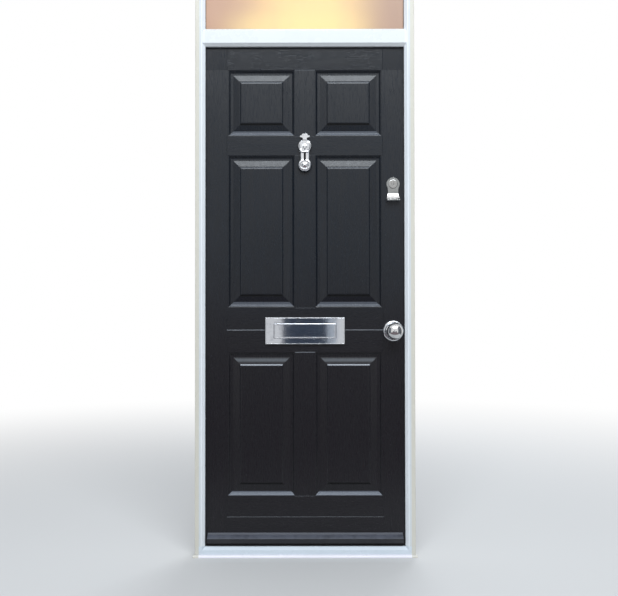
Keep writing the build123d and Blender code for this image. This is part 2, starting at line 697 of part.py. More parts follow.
# Stiles and rails round the foam core
STILE_CENTRE = LEAF_HALF - STILE_WIDTH / 2
RAIL_HALF = LEAF_HALF - STILE_WIDTH
for name, side in (("hinge_stile", -1), ("lock_stile", 1)):
    with BuildPart() as stile:
        with BuildSketch(facing_out(CORE_BACK)):
            with Locations((side * STILE_CENTRE, LEAF_CENTRE)):
                Rectangle(STILE_WIDTH, LEAF_HEIGHT)
        extrude(amount=CORE_DEPTH)
        add(leaf_holes.part, mode=Mode.SUBTRACT)
    finish(stile, name)

CORE_BOTTOM = LEAF_BOTTOM + BOTTOM_RAIL_WIDTH
CORE_TOP = LEAF_TOP - TOP_RAIL_WIDTH
for name, low, high in (("bottom_rail", LEAF_BOTTOM, CORE_BOTTOM), ("top_rail", CORE_TOP, LEAF_TOP)):
    with BuildPart() as rail:
        with BuildSketch(facing_out(CORE_BACK)):
            with Locations((0, (low + high) / 2)):
                Rectangle(2 * RAIL_HALF, high - low)
        extrude(amount=CORE_DEPTH)
    finish(rail, name)

with BuildPart() as leaf_core:
    with BuildSketch(facing_out(CORE_BACK)):
        with Locations((0, (CORE_BOTTOM + CORE_TOP) / 2)):
            Rectangle(2 * RAIL_HALF, CORE_TOP - CORE_BOTTOM)
    extrude(amount=CORE_DEPTH)
    add(inside_trenches.part, mode=Mode.SUBTRACT)
    add(inside_trenches.part.mirror(facing_out(LEAF_MIDDLE)), mode=Mode.SUBTRACT)
    add(leaf_holes.part, mode=Mode.SUBTRACT)
finish(leaf_core, "leaf_core")

# Hinges: a frame plate with two knuckles, a door plate with one, and a pin
KNUCKLE_HOLE = HINGE_PIN_RADIUS + PIN_CLEARANCE
FRAME_PLATE_LEFT = -FRAME_WIDTH / 2 + FRAME_PLATE_MARGIN
FRAME_PLATE_RIGHT = PIVOT_X - KNUCKLE_RADIUS - KNUCKLE_GAP
LEAF_PLATE_LEFT = PIVOT_X + LEAF_PLATE_START
LEAF_KNUCKLE_GAP = LEAF_KNUCKLE / 2 + KNUCKLE_GAP
OUTER_KNUCKLE = HINGE_HEIGHT / 2 - LEAF_KNUCKLE_GAP
for number, height in enumerate(HINGE_HEIGHTS, start=1):
    low = height - HINGE_HEIGHT / 2
    with BuildPart() as hinge_frame_plate:
        with BuildSketch(Plane.XY.offset(low)):
            with Locations(((FRAME_PLATE_LEFT + FRAME_PLATE_RIGHT) / 2, FRAME_BACK + HINGE_PLATE / 2)):
                Rectangle(FRAME_PLATE_RIGHT - FRAME_PLATE_LEFT, HINGE_PLATE)
        extrude(amount=HINGE_HEIGHT)
        for knuckle_low in (low, height + LEAF_KNUCKLE_GAP):
            with BuildSketch(Plane.XY.offset(knuckle_low)):
                with BuildLine():
                    Polyline(
                        (PIVOT_X, FRAME_BACK),
                        (PIVOT_X, PIVOT_Y),
                        (PIVOT_X - KNUCKLE_RADIUS, PIVOT_Y),
                        (FRAME_PLATE_RIGHT, FRAME_BACK + HINGE_PLATE),
                        (FRAME_PLATE_RIGHT, FRAME_BACK),
                        close=True,
                    )
                make_face()
                with Locations((PIVOT_X, PIVOT_Y)):
                    Circle(KNUCKLE_RADIUS)
                    Circle(KNUCKLE_HOLE, mode=Mode.SUBTRACT)
            extrude(amount=OUTER_KNUCKLE)
    finish(hinge_frame_plate, f"hinge_{number}_frame_plate")

    with BuildPart() as hinge_door_plate:
        with BuildSketch(Plane.XY.offset(low)):
            with Locations((LEAF_PLATE_LEFT + LEAF_PLATE_WIDTH / 2, LEAF_BACK + HINGE_PLATE / 2)):
                Rectangle(LEAF_PLATE_WIDTH, HINGE_PLATE)
        extrude(amount=HINGE_HEIGHT)
        with BuildSketch(Plane.XY.offset(height - LEAF_KNUCKLE / 2)):
            with BuildLine():
                Polyline(
                    (PIVOT_X, LEAF_BACK),
                    (PIVOT_X, PIVOT_Y),
                    (PIVOT_X + KNUCKLE_RADIUS, PIVOT_Y),
                    (LEAF_PLATE_LEFT, LEAF_BACK + HINGE_PLATE),
                    (LEAF_PLATE_LEFT, LEAF_BACK),
                    close=True,
                )
            make_face()
            with Locations((PIVOT_X, PIVOT_Y)):
                Circle(KNUCKLE_RADIUS)
                Circle(KNUCKLE_HOLE, mode=Mode.SUBTRACT)
        extrude(amount=LEAF_KNUCKLE)
    finish(hinge_door_plate, f"hinge_{number}_door_plate")

    with BuildPart() as hinge_pin:
        with BuildSketch(Plane.XY.offset(low)):
            with Locations((PIVOT_X, PIVOT_Y)):
                Circle(HINGE_PIN_RADIUS)
        extrude(amount=HINGE_HEIGHT)
    finish(hinge_pin, f"hinge_{number}_pin")

# Weatherbar across the foot of the leaf, with a plug cap at each end
BAR_HALF = OPEN_HALF - WEATHERBAR_END_GAP
WEATHERBAR_LOW = OPEN_BOTTOM + WEATHERBAR_RISE
WEATHERBAR_TOP = WEATHERBAR_LOW + WEATHERBAR_HEIGHT
NOSE_Y = LEAF_FRONT - WEATHERBAR_REACH
SLOPE_TOP = (LEAF_FRONT - WEATHERBAR_FLANGE, WEATHERBAR_TOP - WEATHERBAR_LIP)
SLOPE_FOOT = (NOSE_Y, WEATHERBAR_TOP - WEATHERBAR_FALL)
NOSE_FOOT = (NOSE_Y, SLOPE_FOOT[1] - WEATHERBAR_NOSE)
SLOPE_BOW = ((SLOPE_TOP[0] + NOSE_Y) / 2, (SLOPE_TOP[1] + SLOPE_FOOT[1]) / 2 + WEATHERBAR_BOW)
under_slope = [
    (SLOPE_TOP[0], SLOPE_TOP[1] - WEATHERBAR_WALL),
    (SLOPE_BOW[0], SLOPE_BOW[1] - WEATHERBAR_WALL),
    (NOSE_Y + WEATHERBAR_WALL, SLOPE_FOOT[1] - WEATHERBAR_WALL),
]
with BuildPart() as weatherbar:
    with BuildSketch(Plane.YZ):
        with BuildLine():
            Polyline(
                SLOPE_TOP,
                (LEAF_FRONT - WEATHERBAR_FLANGE, WEATHERBAR_TOP),
                (LEAF_FRONT, WEATHERBAR_TOP),
                (LEAF_FRONT, WEATHERBAR_LOW),
                (LEAF_FRONT - WEATHERBAR_FLANGE, WEATHERBAR_LOW),
                under_slope[0],
            )
            ThreePointArc(*under_slope)
            Polyline(under_slope[-1], (NOSE_Y + WEATHERBAR_WALL, NOSE_FOOT[1]), NOSE_FOOT, SLOPE_FOOT)
            ThreePointArc(SLOPE_FOOT, SLOPE_BOW, SLOPE_TOP)
        make_face()
    extrude(amount=BAR_HALF - END_CAP, both=True)
finish(weatherbar, "weatherbar")

with BuildPart() as weatherbar_end_caps:
    for side in (-1, 1):
        with BuildSketch(Plane.YZ.offset(side * (BAR_HALF - END_CAP))):
            with BuildLine():
                Polyline(
                    SLOPE_TOP,
                    (LEAF_FRONT, SLOPE_TOP[1]),
                    (LEAF_FRONT, WEATHERBAR_LOW),
                    NOSE_FOOT,
                    SLOPE_FOOT,
                )
                ThreePointArc(SLOPE_FOOT, SLOPE_BOW, SLOPE_TOP)
            make_face()
        extrude(amount=side * END_CAP)
finish(weatherbar_end_caps, "weatherbar_end_caps")

# Letter plate, outside: a raised frame with a sprung flap hung on a pin along its top
RECESS_WIDTH = LETTER_WIDTH - 2 * LETTER_BORDER_X
RECESS_HEIGHT = LETTER_HEIGHT - 2 * LETTER_BORDER_Z
RECESS_TOP = LETTER_Z + RECESS_HEIGHT / 2
RECESS_LOW = LETTER_Z - RECESS_HEIGHT / 2
FLAP_PIN_Z = RECESS_TOP - FLAP_GAP - FLAP_BARREL_RADIUS
FLAP_PIN_Y = LEAF_FRONT - FLAP_PIN_PROUD
FLAP_PIN_HALF = RECESS_WIDTH / 2 + FLAP_PIN_GRIP
with BuildPart() as letter_plate_frame:
    with BuildSketch(out_from_leaf(0)):
        with Locations((0, LETTER_Z)):
            RectangleRounded(LETTER_WIDTH, LETTER_HEIGHT, LETTER_CORNER)
    extrude(amount=LETTER_THICKNESS)
    chamfer(faces().sort_by(Axis.Y)[0].outer_wire().edges(), length=LETTER_CHAMFER)
    with BuildSketch(out_from_leaf(LETTER_FLOOR)):
        with Locations((0, LETTER_Z)):
            Rectangle(RECESS_WIDTH, RECESS_HEIGHT)
    extrude(amount=LETTER_THICKNESS - LETTER_FLOOR, mode=Mode.SUBTRACT)
    with BuildSketch(out_from_leaf(0)):
        with Locations((0, LETTER_Z)):
            Rectangle(APERTURE_WIDTH, APERTURE_HEIGHT)
    extrude(amount=LETTER_FLOOR, mode=Mode.SUBTRACT)
    with BuildSketch(out_from_leaf(0)):
        with Locations(*BOLT_PLACES[:2]):
            Circle(LETTER_BOLT_RADIUS)
    extrude(amount=LETTER_FLOOR - CLOSE_GAP, mode=Mode.SUBTRACT)
    with BuildSketch(across_plane(0, FLAP_PIN_Y, FLAP_PIN_Z)):
        Circle(FLAP_PIN_RADIUS)
    extrude(amount=FLAP_PIN_HALF, both=True, mode=Mode.SUBTRACT)
finish(letter_plate_frame, "letter_plate_frame")

FLAP_BACK = LETTER_FLOOR + CLOSE_GAP
with BuildPart() as letter_flap:
    with BuildSketch(Plane.YZ):
        with BuildLine():
            Polyline(
                (LEAF_FRONT - FLAP_BACK - FLAP_EDGE, FLAP_PIN_Z),
                (LEAF_FRONT - FLAP_BACK, FLAP_PIN_Z),
                (LEAF_FRONT - FLAP_BACK, RECESS_LOW + FLAP_GAP),
                (LEAF_FRONT - FLAP_BACK - FLAP_EDGE, RECESS_LOW + FLAP_GAP),
            )
            ThreePointArc(
                (LEAF_FRONT - FLAP_BACK - FLAP_EDGE, RECESS_LOW + FLAP_GAP),
                (LEAF_FRONT - FLAP_BACK - FLAP_EDGE - FLAP_CROWN, (FLAP_PIN_Z + RECESS_LOW) / 2),
                (LEAF_FRONT - FLAP_BACK - FLAP_EDGE, FLAP_PIN_Z),
            )
        make_face()
        with Locations((FLAP_PIN_Y, FLAP_PIN_Z)):
            Circle(FLAP_BARREL_RADIUS)
            Circle(FLAP_PIN_RADIUS + PIN_CLEARANCE, mode=Mode.SUBTRACT)
    extrude(amount=RECESS_WIDTH / 2 - FLAP_GAP, both=True)
    with BuildSketch(out_from_leaf(FLAP_BACK)):
        with Locations((0, (FLAP_PIN_Z - FLAP_BARREL_RADIUS + RECESS_LOW + FLAP_GAP) / 2)):
            pocket_height = FLAP_PIN_Z - FLAP_BARREL_RADIUS - RECESS_LOW - FLAP_GAP - 2 * FLAP_RIM
            Rectangle(RECESS_WIDTH - 2 * (FLAP_GAP + FLAP_RIM), pocket_height)
    extrude(amount=FLAP_EDGE - FLAP_WALL, mode=Mode.SUBTRACT)
finish(letter_flap, "letter_flap")

with BuildPart() as letter_flap_pin:
    with BuildSketch(across_plane(0, FLAP_PIN_Y, FLAP_PIN_Z)):
        Circle(FLAP_PIN_RADIUS)
    extrude(amount=FLAP_PIN_HALF, both=True)
finish(letter_flap_pin, "letter_flap_pin")

# Sleeve that lines the slot, and the room side's plate with its own flap
with BuildPart() as letter_sleeve:
    with BuildSketch(in_from_leaf(0)):
        with Locations((0, LETTER_Z)):
            Rectangle(APERTURE_WIDTH + 2 * SLEEVE_WALL, APERTURE_HEIGHT + 2 * SLEEVE_WALL)
            Rectangle(APERTURE_WIDTH, APERTURE_HEIGHT, mode=Mode.SUBTRACT)
    extrude(amount=LEAF_THICKNESS)
finish(letter_sleeve, "letter_sleeve")

INNER_PIN_Z = LETTER_Z + INNER_FLAP_HEIGHT / 2 - INNER_BARREL_RADIUS
INNER_PIN_Y = LEAF_BACK + INNER_PIN_PROUD
INNER_PIN_HALF = INNER_FLAP_WIDTH / 2 + FLAP_GAP + INNER_LUG
with BuildPart() as letter_inner_plate:
    with BuildSketch(in_from_leaf(INNER_PLATE)):
        with Locations((0, LETTER_Z)):
            RectangleRounded(LETTER_WIDTH, LETTER_HEIGHT, LETTER_CORNER)
    extrude(amount=INNER_PLATE)
    chamfer(faces().sort_by(Axis.Y)[-1].edges(), length=INNER_PLATE_CHAMFER)
    with BuildSketch(in_from_leaf(INNER_PLATE)):
        with Locations((0, LETTER_Z)):
            Rectangle(APERTURE_WIDTH, APERTURE_HEIGHT)
        with Locations(*BOLT_PLACES[:2]):
            Circle(LETTER_BOLT_RADIUS + PIN_CLEARANCE)
    extrude(amount=INNER_PLATE, mode=Mode.SUBTRACT)
    for side in (-1, 1):
        lug_x = side * (INNER_PIN_HALF - INNER_LUG)
        with BuildSketch(Plane.YZ.offset(lug_x)):
            with Locations(((LEAF_BACK + INNER_PLATE + INNER_PIN_Y) / 2, INNER_PIN_Z)):
                Rectangle(
                    INNER_PIN_Y - LEAF_BACK - INNER_PLATE, 2 * (INNER_BARREL_RADIUS + INNER_LUG_WALL)
                )
            with Locations((INNER_PIN_Y, INNER_PIN_Z)):
                Circle(INNER_BARREL_RADIUS + INNER_LUG_WALL)
                Circle(FLAP_PIN_RADIUS, mode=Mode.SUBTRACT)
        extrude(amount=side * INNER_LUG)
finish(letter_inner_plate, "letter_inner_plate")

INNER_FLAP_BACK = LEAF_BACK + INNER_PLATE + CLOSE_GAP
INNER_FLAP_FACE = INNER_FLAP_BACK + INNER_FLAP_THICKNESS
INNER_FLAP_LOW = LETTER_Z - INNER_FLAP_HEIGHT / 2
with BuildPart() as letter_inner_flap:
    with BuildSketch(Plane.YZ):
        with BuildLine():
            Polyline(
                (INNER_FLAP_BACK, INNER_PIN_Z),
                (INNER_FLAP_BACK, INNER_FLAP_LOW),
                (INNER_FLAP_FACE - INNER_FLAP_LIP, INNER_FLAP_LOW),
                (INNER_FLAP_FACE, INNER_FLAP_LOW + INNER_FLAP_SLOPE),
                (INNER_FLAP_FACE, INNER_PIN_Z),
                close=True,
            )
        make_face()
        with Locations((INNER_PIN_Y, INNER_PIN_Z)):
            Circle(INNER_BARREL_RADIUS)
            Circle(FLAP_PIN_RADIUS + PIN_CLEARANCE, mode=Mode.SUBTRACT)
    extrude(amount=INNER_FLAP_WIDTH / 2, both=True)
finish(letter_inner_flap, "letter_inner_flap")

with BuildPart() as letter_inner_pin:
    with BuildSketch(across_plane(0, INNER_PIN_Y, INNER_PIN_Z)):
        Circle(FLAP_PIN_RADIUS)
    extrude(amount=INNER_PIN_HALF, both=True)
finish(letter_inner_pin, "letter_inner_pin")

with BuildPart() as letter_bolts:
    with BuildSketch(in_from_leaf(INNER_PLATE)):
        with Locations(*BOLT_PLACES[:2]):
            Circle(LETTER_BOLT_RADIUS)
    extrude(amount=INNER_PLATE + LEAF_THICKNESS + LETTER_FLOOR - 2 * CLOSE_GAP)
    with BuildSketch(in_from_leaf(INNER_PLATE)):
        with Locations(*BOLT_PLACES[:2]):
            Circle(LETTER_BOLT_HEAD_RADIUS)
    extrude(amount=-BOLT_HEAD)
finish(letter_bolts, "letter_bolts")

# Knocker: a rose with two cheeks and a finial, a hung arm with a strike disc, and a striker stud
FINIAL_FOOT = KNOCKER_Z + ROSE_RADIUS - FINIAL_SINK
finial_shares = (FINIAL_NECK, FINIAL_EAR, FINIAL_EAR_BOW, FINIAL_NOTCH, FINIAL_PETAL, FINIAL_DIP)
neck, ear, ear_bow, notch, petal, dip = [
    (-across * FINIAL_HALF_WIDTH, KNOCKER_Z + up * FINIAL_TOP) for across, up in finial_shares
]
with BuildPart() as knocker_rose:
    with BuildSketch(turning_plane(0, KNOCKER_Z)):
        with BuildLine():
            Polyline((ROSE_RIM, ROSE_RADIUS), (0, ROSE_RADIUS), (0, 0), (ROSE_PROUD, 0))
            Line((ROSE_PROUD, 0), (ROSE_PROUD, ROSE_CROWN_RADIUS))
            ThreePointArc((ROSE_PROUD, ROSE_CROWN_RADIUS), ROSE_SHOULDER, (ROSE_RIM, ROSE_RADIUS))
        make_face()
    revolve(axis=turning_axis(0, KNOCKER_Z))
    with BuildSketch(out_from_leaf(ROSE_SLOT_FLOOR)):
        with Locations((0, KNOCKER_Z)):
            Rectangle(ROSE_SLOT, 2 * (ROSE_RADIUS + ABOVE))
        with Locations((0, KNOCKER_Z - ROSE_RADIUS - ARM_SHOULDER + SHOULDER_GAP)):
            Rectangle(2 * ROSE_RADIUS, 2 * ROSE_RADIUS)
    extrude(amount=ROSE_PROUD, mode=Mode.SUBTRACT)
    with BuildSketch(out_from_leaf(0)):
        with BuildLine():
            Polyline((neck[0], FINIAL_FOOT), neck, ear)
            ThreePointArc(ear, ear_bow, notch)
            ThreePointArc(notch, petal, dip)
            mirror(about=Plane.YZ)
            Line((neck[0], FINIAL_FOOT), (-neck[0], FINIAL_FOOT))
        make_face()
    extrude(amount=FINIAL_THICKNESS)
    with BuildSketch(across_plane(0, LEAF_FRONT - ARM_PIVOT_PROUD, KNOCKER_Z)):
        Circle(ARM_PIN_RADIUS)
    extrude(amount=ARM_PIN_LENGTH / 2, both=True, mode=Mode.SUBTRACT)
    with BuildSketch(out_from_leaf(0)):
        with Locations((0, KNOCKER_Z)):
            Circle(LETTER_BOLT_RADIUS)
    extrude(amount=ROSE_SLOT_FLOOR - CLOSE_GAP, mode=Mode.SUBTRACT)
finish(knocker_rose, "knocker_rose")

with BuildPart() as knocker_pin:
    with BuildSketch(across_plane(0, LEAF_FRONT - ARM_PIVOT_PROUD, KNOCKER_Z)):
        Circle(ARM_PIN_RADIUS)
    extrude(amount=ARM_PIN_LENGTH / 2, both=True)
finish(knocker_pin, "knocker_pin")

ARM_FRONT = ARM_BACK + ARM_THICKNESS
BOSS_CROWN = (STRIKE_BOSS_RADIUS**2 + STRIKE_BOSS_DOME**2) / (2 * STRIKE_BOSS_DOME)
DISC_SHOULDER = (ARM_FRONT + STRIKE_RIM_RISE, STRIKE_DISC_RADIUS - STRIKE_RIM)
DISH_DEPTH = ARM_FRONT - STRIKE_DISH
BOSS_EDGE = (STRIKE_DISC_PROUD - STRIKE_BOSS_DOME, STRIKE_BOSS_RADIUS)
with BuildPart() as knocker_arm:
    with BuildSketch(out_from_leaf(ARM_BACK)):
        with BuildLine():
            Polyline(
                (-ARM_NECK_WIDTH / 2, KNOCKER_Z),
                (-ARM_NECK_WIDTH / 2, KNOCKER_Z - ARM_SHOULDER),
                (-ARM_WIDTH / 2, KNOCKER_Z - ARM_SHOULDER),
                (-ARM_WIDTH / 2, STRIKER_Z),
                (ARM_WIDTH / 2, STRIKER_Z),
                (ARM_WIDTH / 2, KNOCKER_Z - ARM_SHOULDER),
                (ARM_NECK_WIDTH / 2, KNOCKER_Z - ARM_SHOULDER),
                (ARM_NECK_WIDTH / 2, KNOCKER_Z),
                close=True,
            )
        make_face()
    extrude(amount=ARM_THICKNESS)
    front_edges = faces().sort_by(Axis.Y)[0].edges().filter_by(Axis.Z)
    chamfer(front_edges.group_by(Axis.X)[0] + front_edges.group_by(Axis.X)[-1], length=ARM_BEVEL)
    with BuildSketch(across_plane(0, LEAF_FRONT - ARM_PIVOT_PROUD, KNOCKER_Z)):
        Circle(ARM_BARREL_RADIUS)
    extrude(amount=ARM_NECK_WIDTH / 2, both=True)
    with BuildSketch(turning_plane(0, STRIKER_Z)):
        with BuildLine():
            Polyline(
                (ARM_BACK, 0),
                (ARM_BACK, STRIKE_DISC_RADIUS),
                (ARM_BACK + STRIKE_EDGE, STRIKE_DISC_RADIUS),
            )
            RadiusArc((ARM_BACK + STRIKE_EDGE, STRIKE_DISC_RADIUS), DISC_SHOULDER, ARM_THICKNESS)
            Polyline(
                DISC_SHOULDER,
                (DISH_DEPTH, STRIKE_BOSS_RADIUS + STRIKE_DISH_FLAT),
                (DISH_DEPTH, STRIKE_BOSS_RADIUS),
                BOSS_EDGE,
            )
            RadiusArc(BOSS_EDGE, (STRIKE_DISC_PROUD, 0), BOSS_CROWN)
            Line((STRIKE_DISC_PROUD, 0), (ARM_BACK, 0))
        make_face()
    revolve(axis=turning_axis(0, STRIKER_Z))
    with BuildSketch(out_from_leaf(ARM_BACK)):
        with Locations((0, KNOCKER_Z - (ARM_SLOT_TOP + ARM_SLOT_LOW) / 2)):
            Rectangle(ARM_SLOT_WIDTH, ARM_SLOT_LOW - ARM_SLOT_TOP)
    extrude(amount=STRIKE_DISC_PROUD, mode=Mode.SUBTRACT)
    with BuildSketch(across_plane(0, LEAF_FRONT - ARM_PIVOT_PROUD, KNOCKER_Z)):
        Circle(ARM_PIN_RADIUS + PIN_CLEARANCE)
    extrude(amount=ARM_PIN_LENGTH / 2, both=True, mode=Mode.SUBTRACT)
finish(knocker_arm, "knocker_arm")

STUD_TOP = ARM_BACK - CLOSE_GAP
STUD_BOLT_END = STUD_TOP / 2
with BuildPart() as knocker_striker:
    with BuildSketch(turning_plane(0, STRIKER_Z)):
        with BuildLine():
            Polyline(
                (0, LETTER_BOLT_RADIUS),
                (0, STRIKER_BASE_RADIUS),
                (STRIKER_BASE, STRIKER_BASE_RADIUS),
                (STRIKER_BASE + STRIKER_BASE_TAPER, STRIKER_RADIUS),
                (STUD_TOP, STRIKER_RADIUS),
                (STUD_TOP, 0),
                (STUD_BOLT_END, 0),
                (STUD_BOLT_END, LETTER_BOLT_RADIUS),
                close=True,
            )
        make_face()
    revolve(axis=turning_axis(0, STRIKER_Z))
finish(knocker_striker, "knocker_striker")

with BuildPart() as knocker_bolts:
    for z, reach in ((KNOCKER_Z, ROSE_SLOT_FLOOR - CLOSE_GAP), (STRIKER_Z, STUD_BOLT_END)):
        with BuildSketch(in_from_leaf(0)):
            with Locations((0, z)):
                Circle(LETTER_BOLT_RADIUS)
        extrude(amount=LEAF_THICKNESS + reach)
        with BuildSketch(in_from_leaf(0)):
            with Locations((0, z)):
                Circle(BOLT_HEAD_RADIUS)
        extrude(amount=-BOLT_HEAD)
finish(knocker_bolts, "knocker_bolts")

# Pull knob on its rose, drawn up by a bolt through the leaf
KNOB_BORE = KNOB_BOLT_RADIUS + PIN_CLEARANCE
ROSE_TOP = (KNOB_ROSE_THICKNESS, KNOB_ROSE_RADIUS - KNOB_ROSE_RIM)
with BuildPart() as knob_rose:
    with BuildSketch(turning_plane(KNOB_X, KNOB_Z)):
        with BuildLine():
            Polyline(
                (KNOB_NECK_START, KNOB_BORE),
                (0, KNOB_BORE),
                (0, KNOB_ROSE_RADIUS),
                (KNOB_ROSE_EDGE, KNOB_ROSE_RADIUS),
            )
            RadiusArc((KNOB_ROSE_EDGE, KNOB_ROSE_RADIUS), ROSE_TOP, KNOB_ROSE_THICKNESS - KNOB_ROSE_DIP)
            Polyline(
                ROSE_TOP,
                (KNOB_ROSE_THICKNESS - KNOB_ROSE_DIP, KNOB_ROSE_RADIUS - KNOB_ROSE_DISH),
                (KNOB_ROSE_THICKNESS, KNOB_NECK_RADIUS + KNOB_ROSE_STEP),
                (KNOB_NECK_START, KNOB_NECK_RADIUS + KNOB_COLLAR),
                (KNOB_NECK_START, KNOB_BORE),
            )
        make_face()
    revolve(axis=turning_axis(KNOB_X, KNOB_Z))
finish(knob_rose, "knob_rose")

# The ball is a flat cap front and back, each blended tangent into one round rim
BALL_CENTRE = KNOB_PROJECTION - KNOB_HALF_DEPTH
CAP_OFFSET = KNOB_CAP_RADIUS - KNOB_HALF_DEPTH
RIM_RADIUS = (KNOB_CAP_RADIUS**2 - CAP_OFFSET**2 - KNOB_RADIUS**2) / (2 * (KNOB_CAP_RADIUS - KNOB_RADIUS))
BLEND_SHARE = KNOB_CAP_RADIUS / (KNOB_CAP_RADIUS - RIM_RADIUS)
BLEND_REACH = (BLEND_SHARE - 1) * CAP_OFFSET
BLEND_RADIUS = BLEND_SHARE * (KNOB_RADIUS - RIM_RADIUS)
NECK_END = BALL_CENTRE + CAP_OFFSET - math.sqrt(KNOB_CAP_RADIUS**2 - KNOB_NECK_RADIUS**2)
back_blend = (BALL_CENTRE - BLEND_REACH, BLEND_RADIUS)
front_blend = (BALL_CENTRE + BLEND_REACH, BLEND_RADIUS)
with BuildPart() as door_knob:
    with BuildSketch(turning_plane(KNOB_X, KNOB_Z)):
        with BuildLine():
            Polyline(
                (KNOB_PROJECTION, 0),
                (KNOB_NECK_START, 0),
                (KNOB_NECK_START, KNOB_NECK_RADIUS),
                (NECK_END, KNOB_NECK_RADIUS),
            )
            RadiusArc((NECK_END, KNOB_NECK_RADIUS), back_blend, KNOB_CAP_RADIUS)
            RadiusArc(back_blend, front_blend, RIM_RADIUS)
            RadiusArc(front_blend, (KNOB_PROJECTION, 0), KNOB_CAP_RADIUS)
        make_face()
    revolve(axis=turning_axis(KNOB_X, KNOB_Z))
    with BuildSketch(out_from_leaf(KNOB_NECK_START)):
        with Locations((KNOB_X, KNOB_Z)):
            Circle(KNOB_BORE)
    extrude(amount=KNOB_BOLT_REACH - KNOB_NECK_START, mode=Mode.SUBTRACT)
finish(door_knob, "door_knob")

with BuildPart() as knob_bolt:
    with BuildSketch(in_from_leaf(0)):
        with Locations((KNOB_X, KNOB_Z)):
            Circle(KNOB_BOLT_RADIUS)
    extrude(amount=LEAF_THICKNESS + KNOB_BOLT_REACH - CLOSE_GAP)
    with BuildSketch(in_from_leaf(0)):
        with Locations((KNOB_X, KNOB_Z)):
            Circle(KNOB_BOLT_HEAD_RADIUS)
    extrude(amount=-KNOB_BOLT_HEAD)
finish(knob_bolt, "knob_bolt")

# Cylinder pull: the front outline cut from a plate that curls outwards at its foot
PULL_TOP = CYLINDER_HEIGHT + PULL_TOP_RADIUS
PULL_BEND = CYLINDER_HEIGHT - PULL_WAIST_DROP
PULL_FOOT = CYLINDER_HEIGHT - PULL_LIP_DROP
PULL_MIDDLE = (PULL_BEND + PULL_FOOT) / 2
PLATE_FACE = LEAF_FRONT - PULL_PLATE
LIP_FACE = LEAF_FRONT - PULL_REACH
under_bow = (LEAF_FRONT - PULL_REACH * PULL_UNDER_BOW[0], PULL_MIDDLE - PULL_UNDER_BOW[1])
face_bow = (LEAF_FRONT - PULL_REACH * PULL_FACE_BOW[0], PULL_MIDDLE - PULL_FACE_BOW[1])

# Front outline, measured from the cylinder's axis
shoulder = (PULL_TOP_RADIUS * math.cos(PULL_NECK), -PULL_TOP_RADIUS * math.sin(PULL_NECK))
upper = (PULL_TOP_RADIUS * math.sin(PULL_NECK), PULL_TOP_RADIUS * math.cos(PULL_NECK))
corner = (PULL_LIP_WIDTH / 2, -PULL_LIP_DROP + PULL_CORNER)
bend = (
    PULL_LIP_WIDTH / 2 - PULL_CORNER_BEND[0] * PULL_CORNER,
    -PULL_LIP_DROP + PULL_CORNER_BEND[1] * PULL_CORNER,
)
pull_front = Plane(origin=(KNOB_X, LEAF_FRONT, CYLINDER_HEIGHT), x_dir=(1, 0, 0), z_dir=(0, -1, 0))
with BuildPart() as cylinder_pull:
    with BuildSketch(Plane.YZ.offset(KNOB_X)):
        with BuildLine():
            Polyline(
                (PLATE_FACE, PULL_BEND + PULL_CURL),
                (PLATE_FACE, PULL_TOP),
                (LEAF_FRONT, PULL_TOP),
                (LEAF_FRONT, PULL_BEND - PULL_CURL),
            )
            ThreePointArc((LEAF_FRONT, PULL_BEND - PULL_CURL), under_bow, (LIP_FACE + PULL_LIP, PULL_FOOT))
            Line((LIP_FACE + PULL_LIP, PULL_FOOT), (LIP_FACE, PULL_FOOT + PULL_LIP_CHAMFER))
            ThreePointArc(
                (LIP_FACE, PULL_FOOT + PULL_LIP_CHAMFER), face_bow, (PLATE_FACE, PULL_BEND + PULL_CURL)
            )
        make_face()
    extrude(amount=PULL_LIP_WIDTH / 2, both=True)
    with BuildSketch(pull_front):
        with BuildLine():
            ThreePointArc((0, PULL_TOP_RADIUS), upper, shoulder)
            ThreePointArc(shoulder, (PULL_WAIST / 2, -PULL_WAIST_DROP), corner)
            ThreePointArc(corner, bend, (0, -PULL_LIP_DROP))
            mirror(about=Plane.YZ)
        make_face()
    extrude(amount=PULL_REACH, mode=Mode.INTERSECT)
    with BuildSketch(out_from_leaf(0)):
        with Locations((KNOB_X, CYLINDER_HEIGHT)):
            Circle(CYLINDER_RADIUS + PIN_CLEARANCE)
    extrude(amount=PULL_PLATE, mode=Mode.SUBTRACT)
finish(cylinder_pull, "cylinder_pull")

# Rim cylinder, and the plug that the key turns
CYLINDER_FRONT = PULL_PLATE + CYLINDER_FLANGE
CYLINDER_BACK = -LEAF_THICKNESS + CASE_WALL
with BuildPart() as cylinder_body:
    with BuildSketch(turning_plane(KNOB_X, CYLINDER_HEIGHT)):
        with BuildLine():
            Polyline(
                (CYLINDER_BACK, PLUG_RADIUS + PIN_CLEARANCE),
                (CYLINDER_BACK, CYLINDER_RADIUS),
                (PULL_PLATE, CYLINDER_RADIUS),
                (PULL_PLATE, CYLINDER_RADIUS + CYLINDER_FLANGE_LAP),
                (CYLINDER_FRONT - CYLINDER_CHAMFER, CYLINDER_RADIUS + CYLINDER_FLANGE_LAP),
                (CYLINDER_FRONT, CYLINDER_RADIUS),
                (CYLINDER_FRONT, PLUG_RADIUS + PIN_CLEARANCE),
                close=True,
            )
        make_face()
    revolve(axis=turning_axis(KNOB_X, CYLINDER_HEIGHT))
finish(cylinder_body, "cylinder_body")

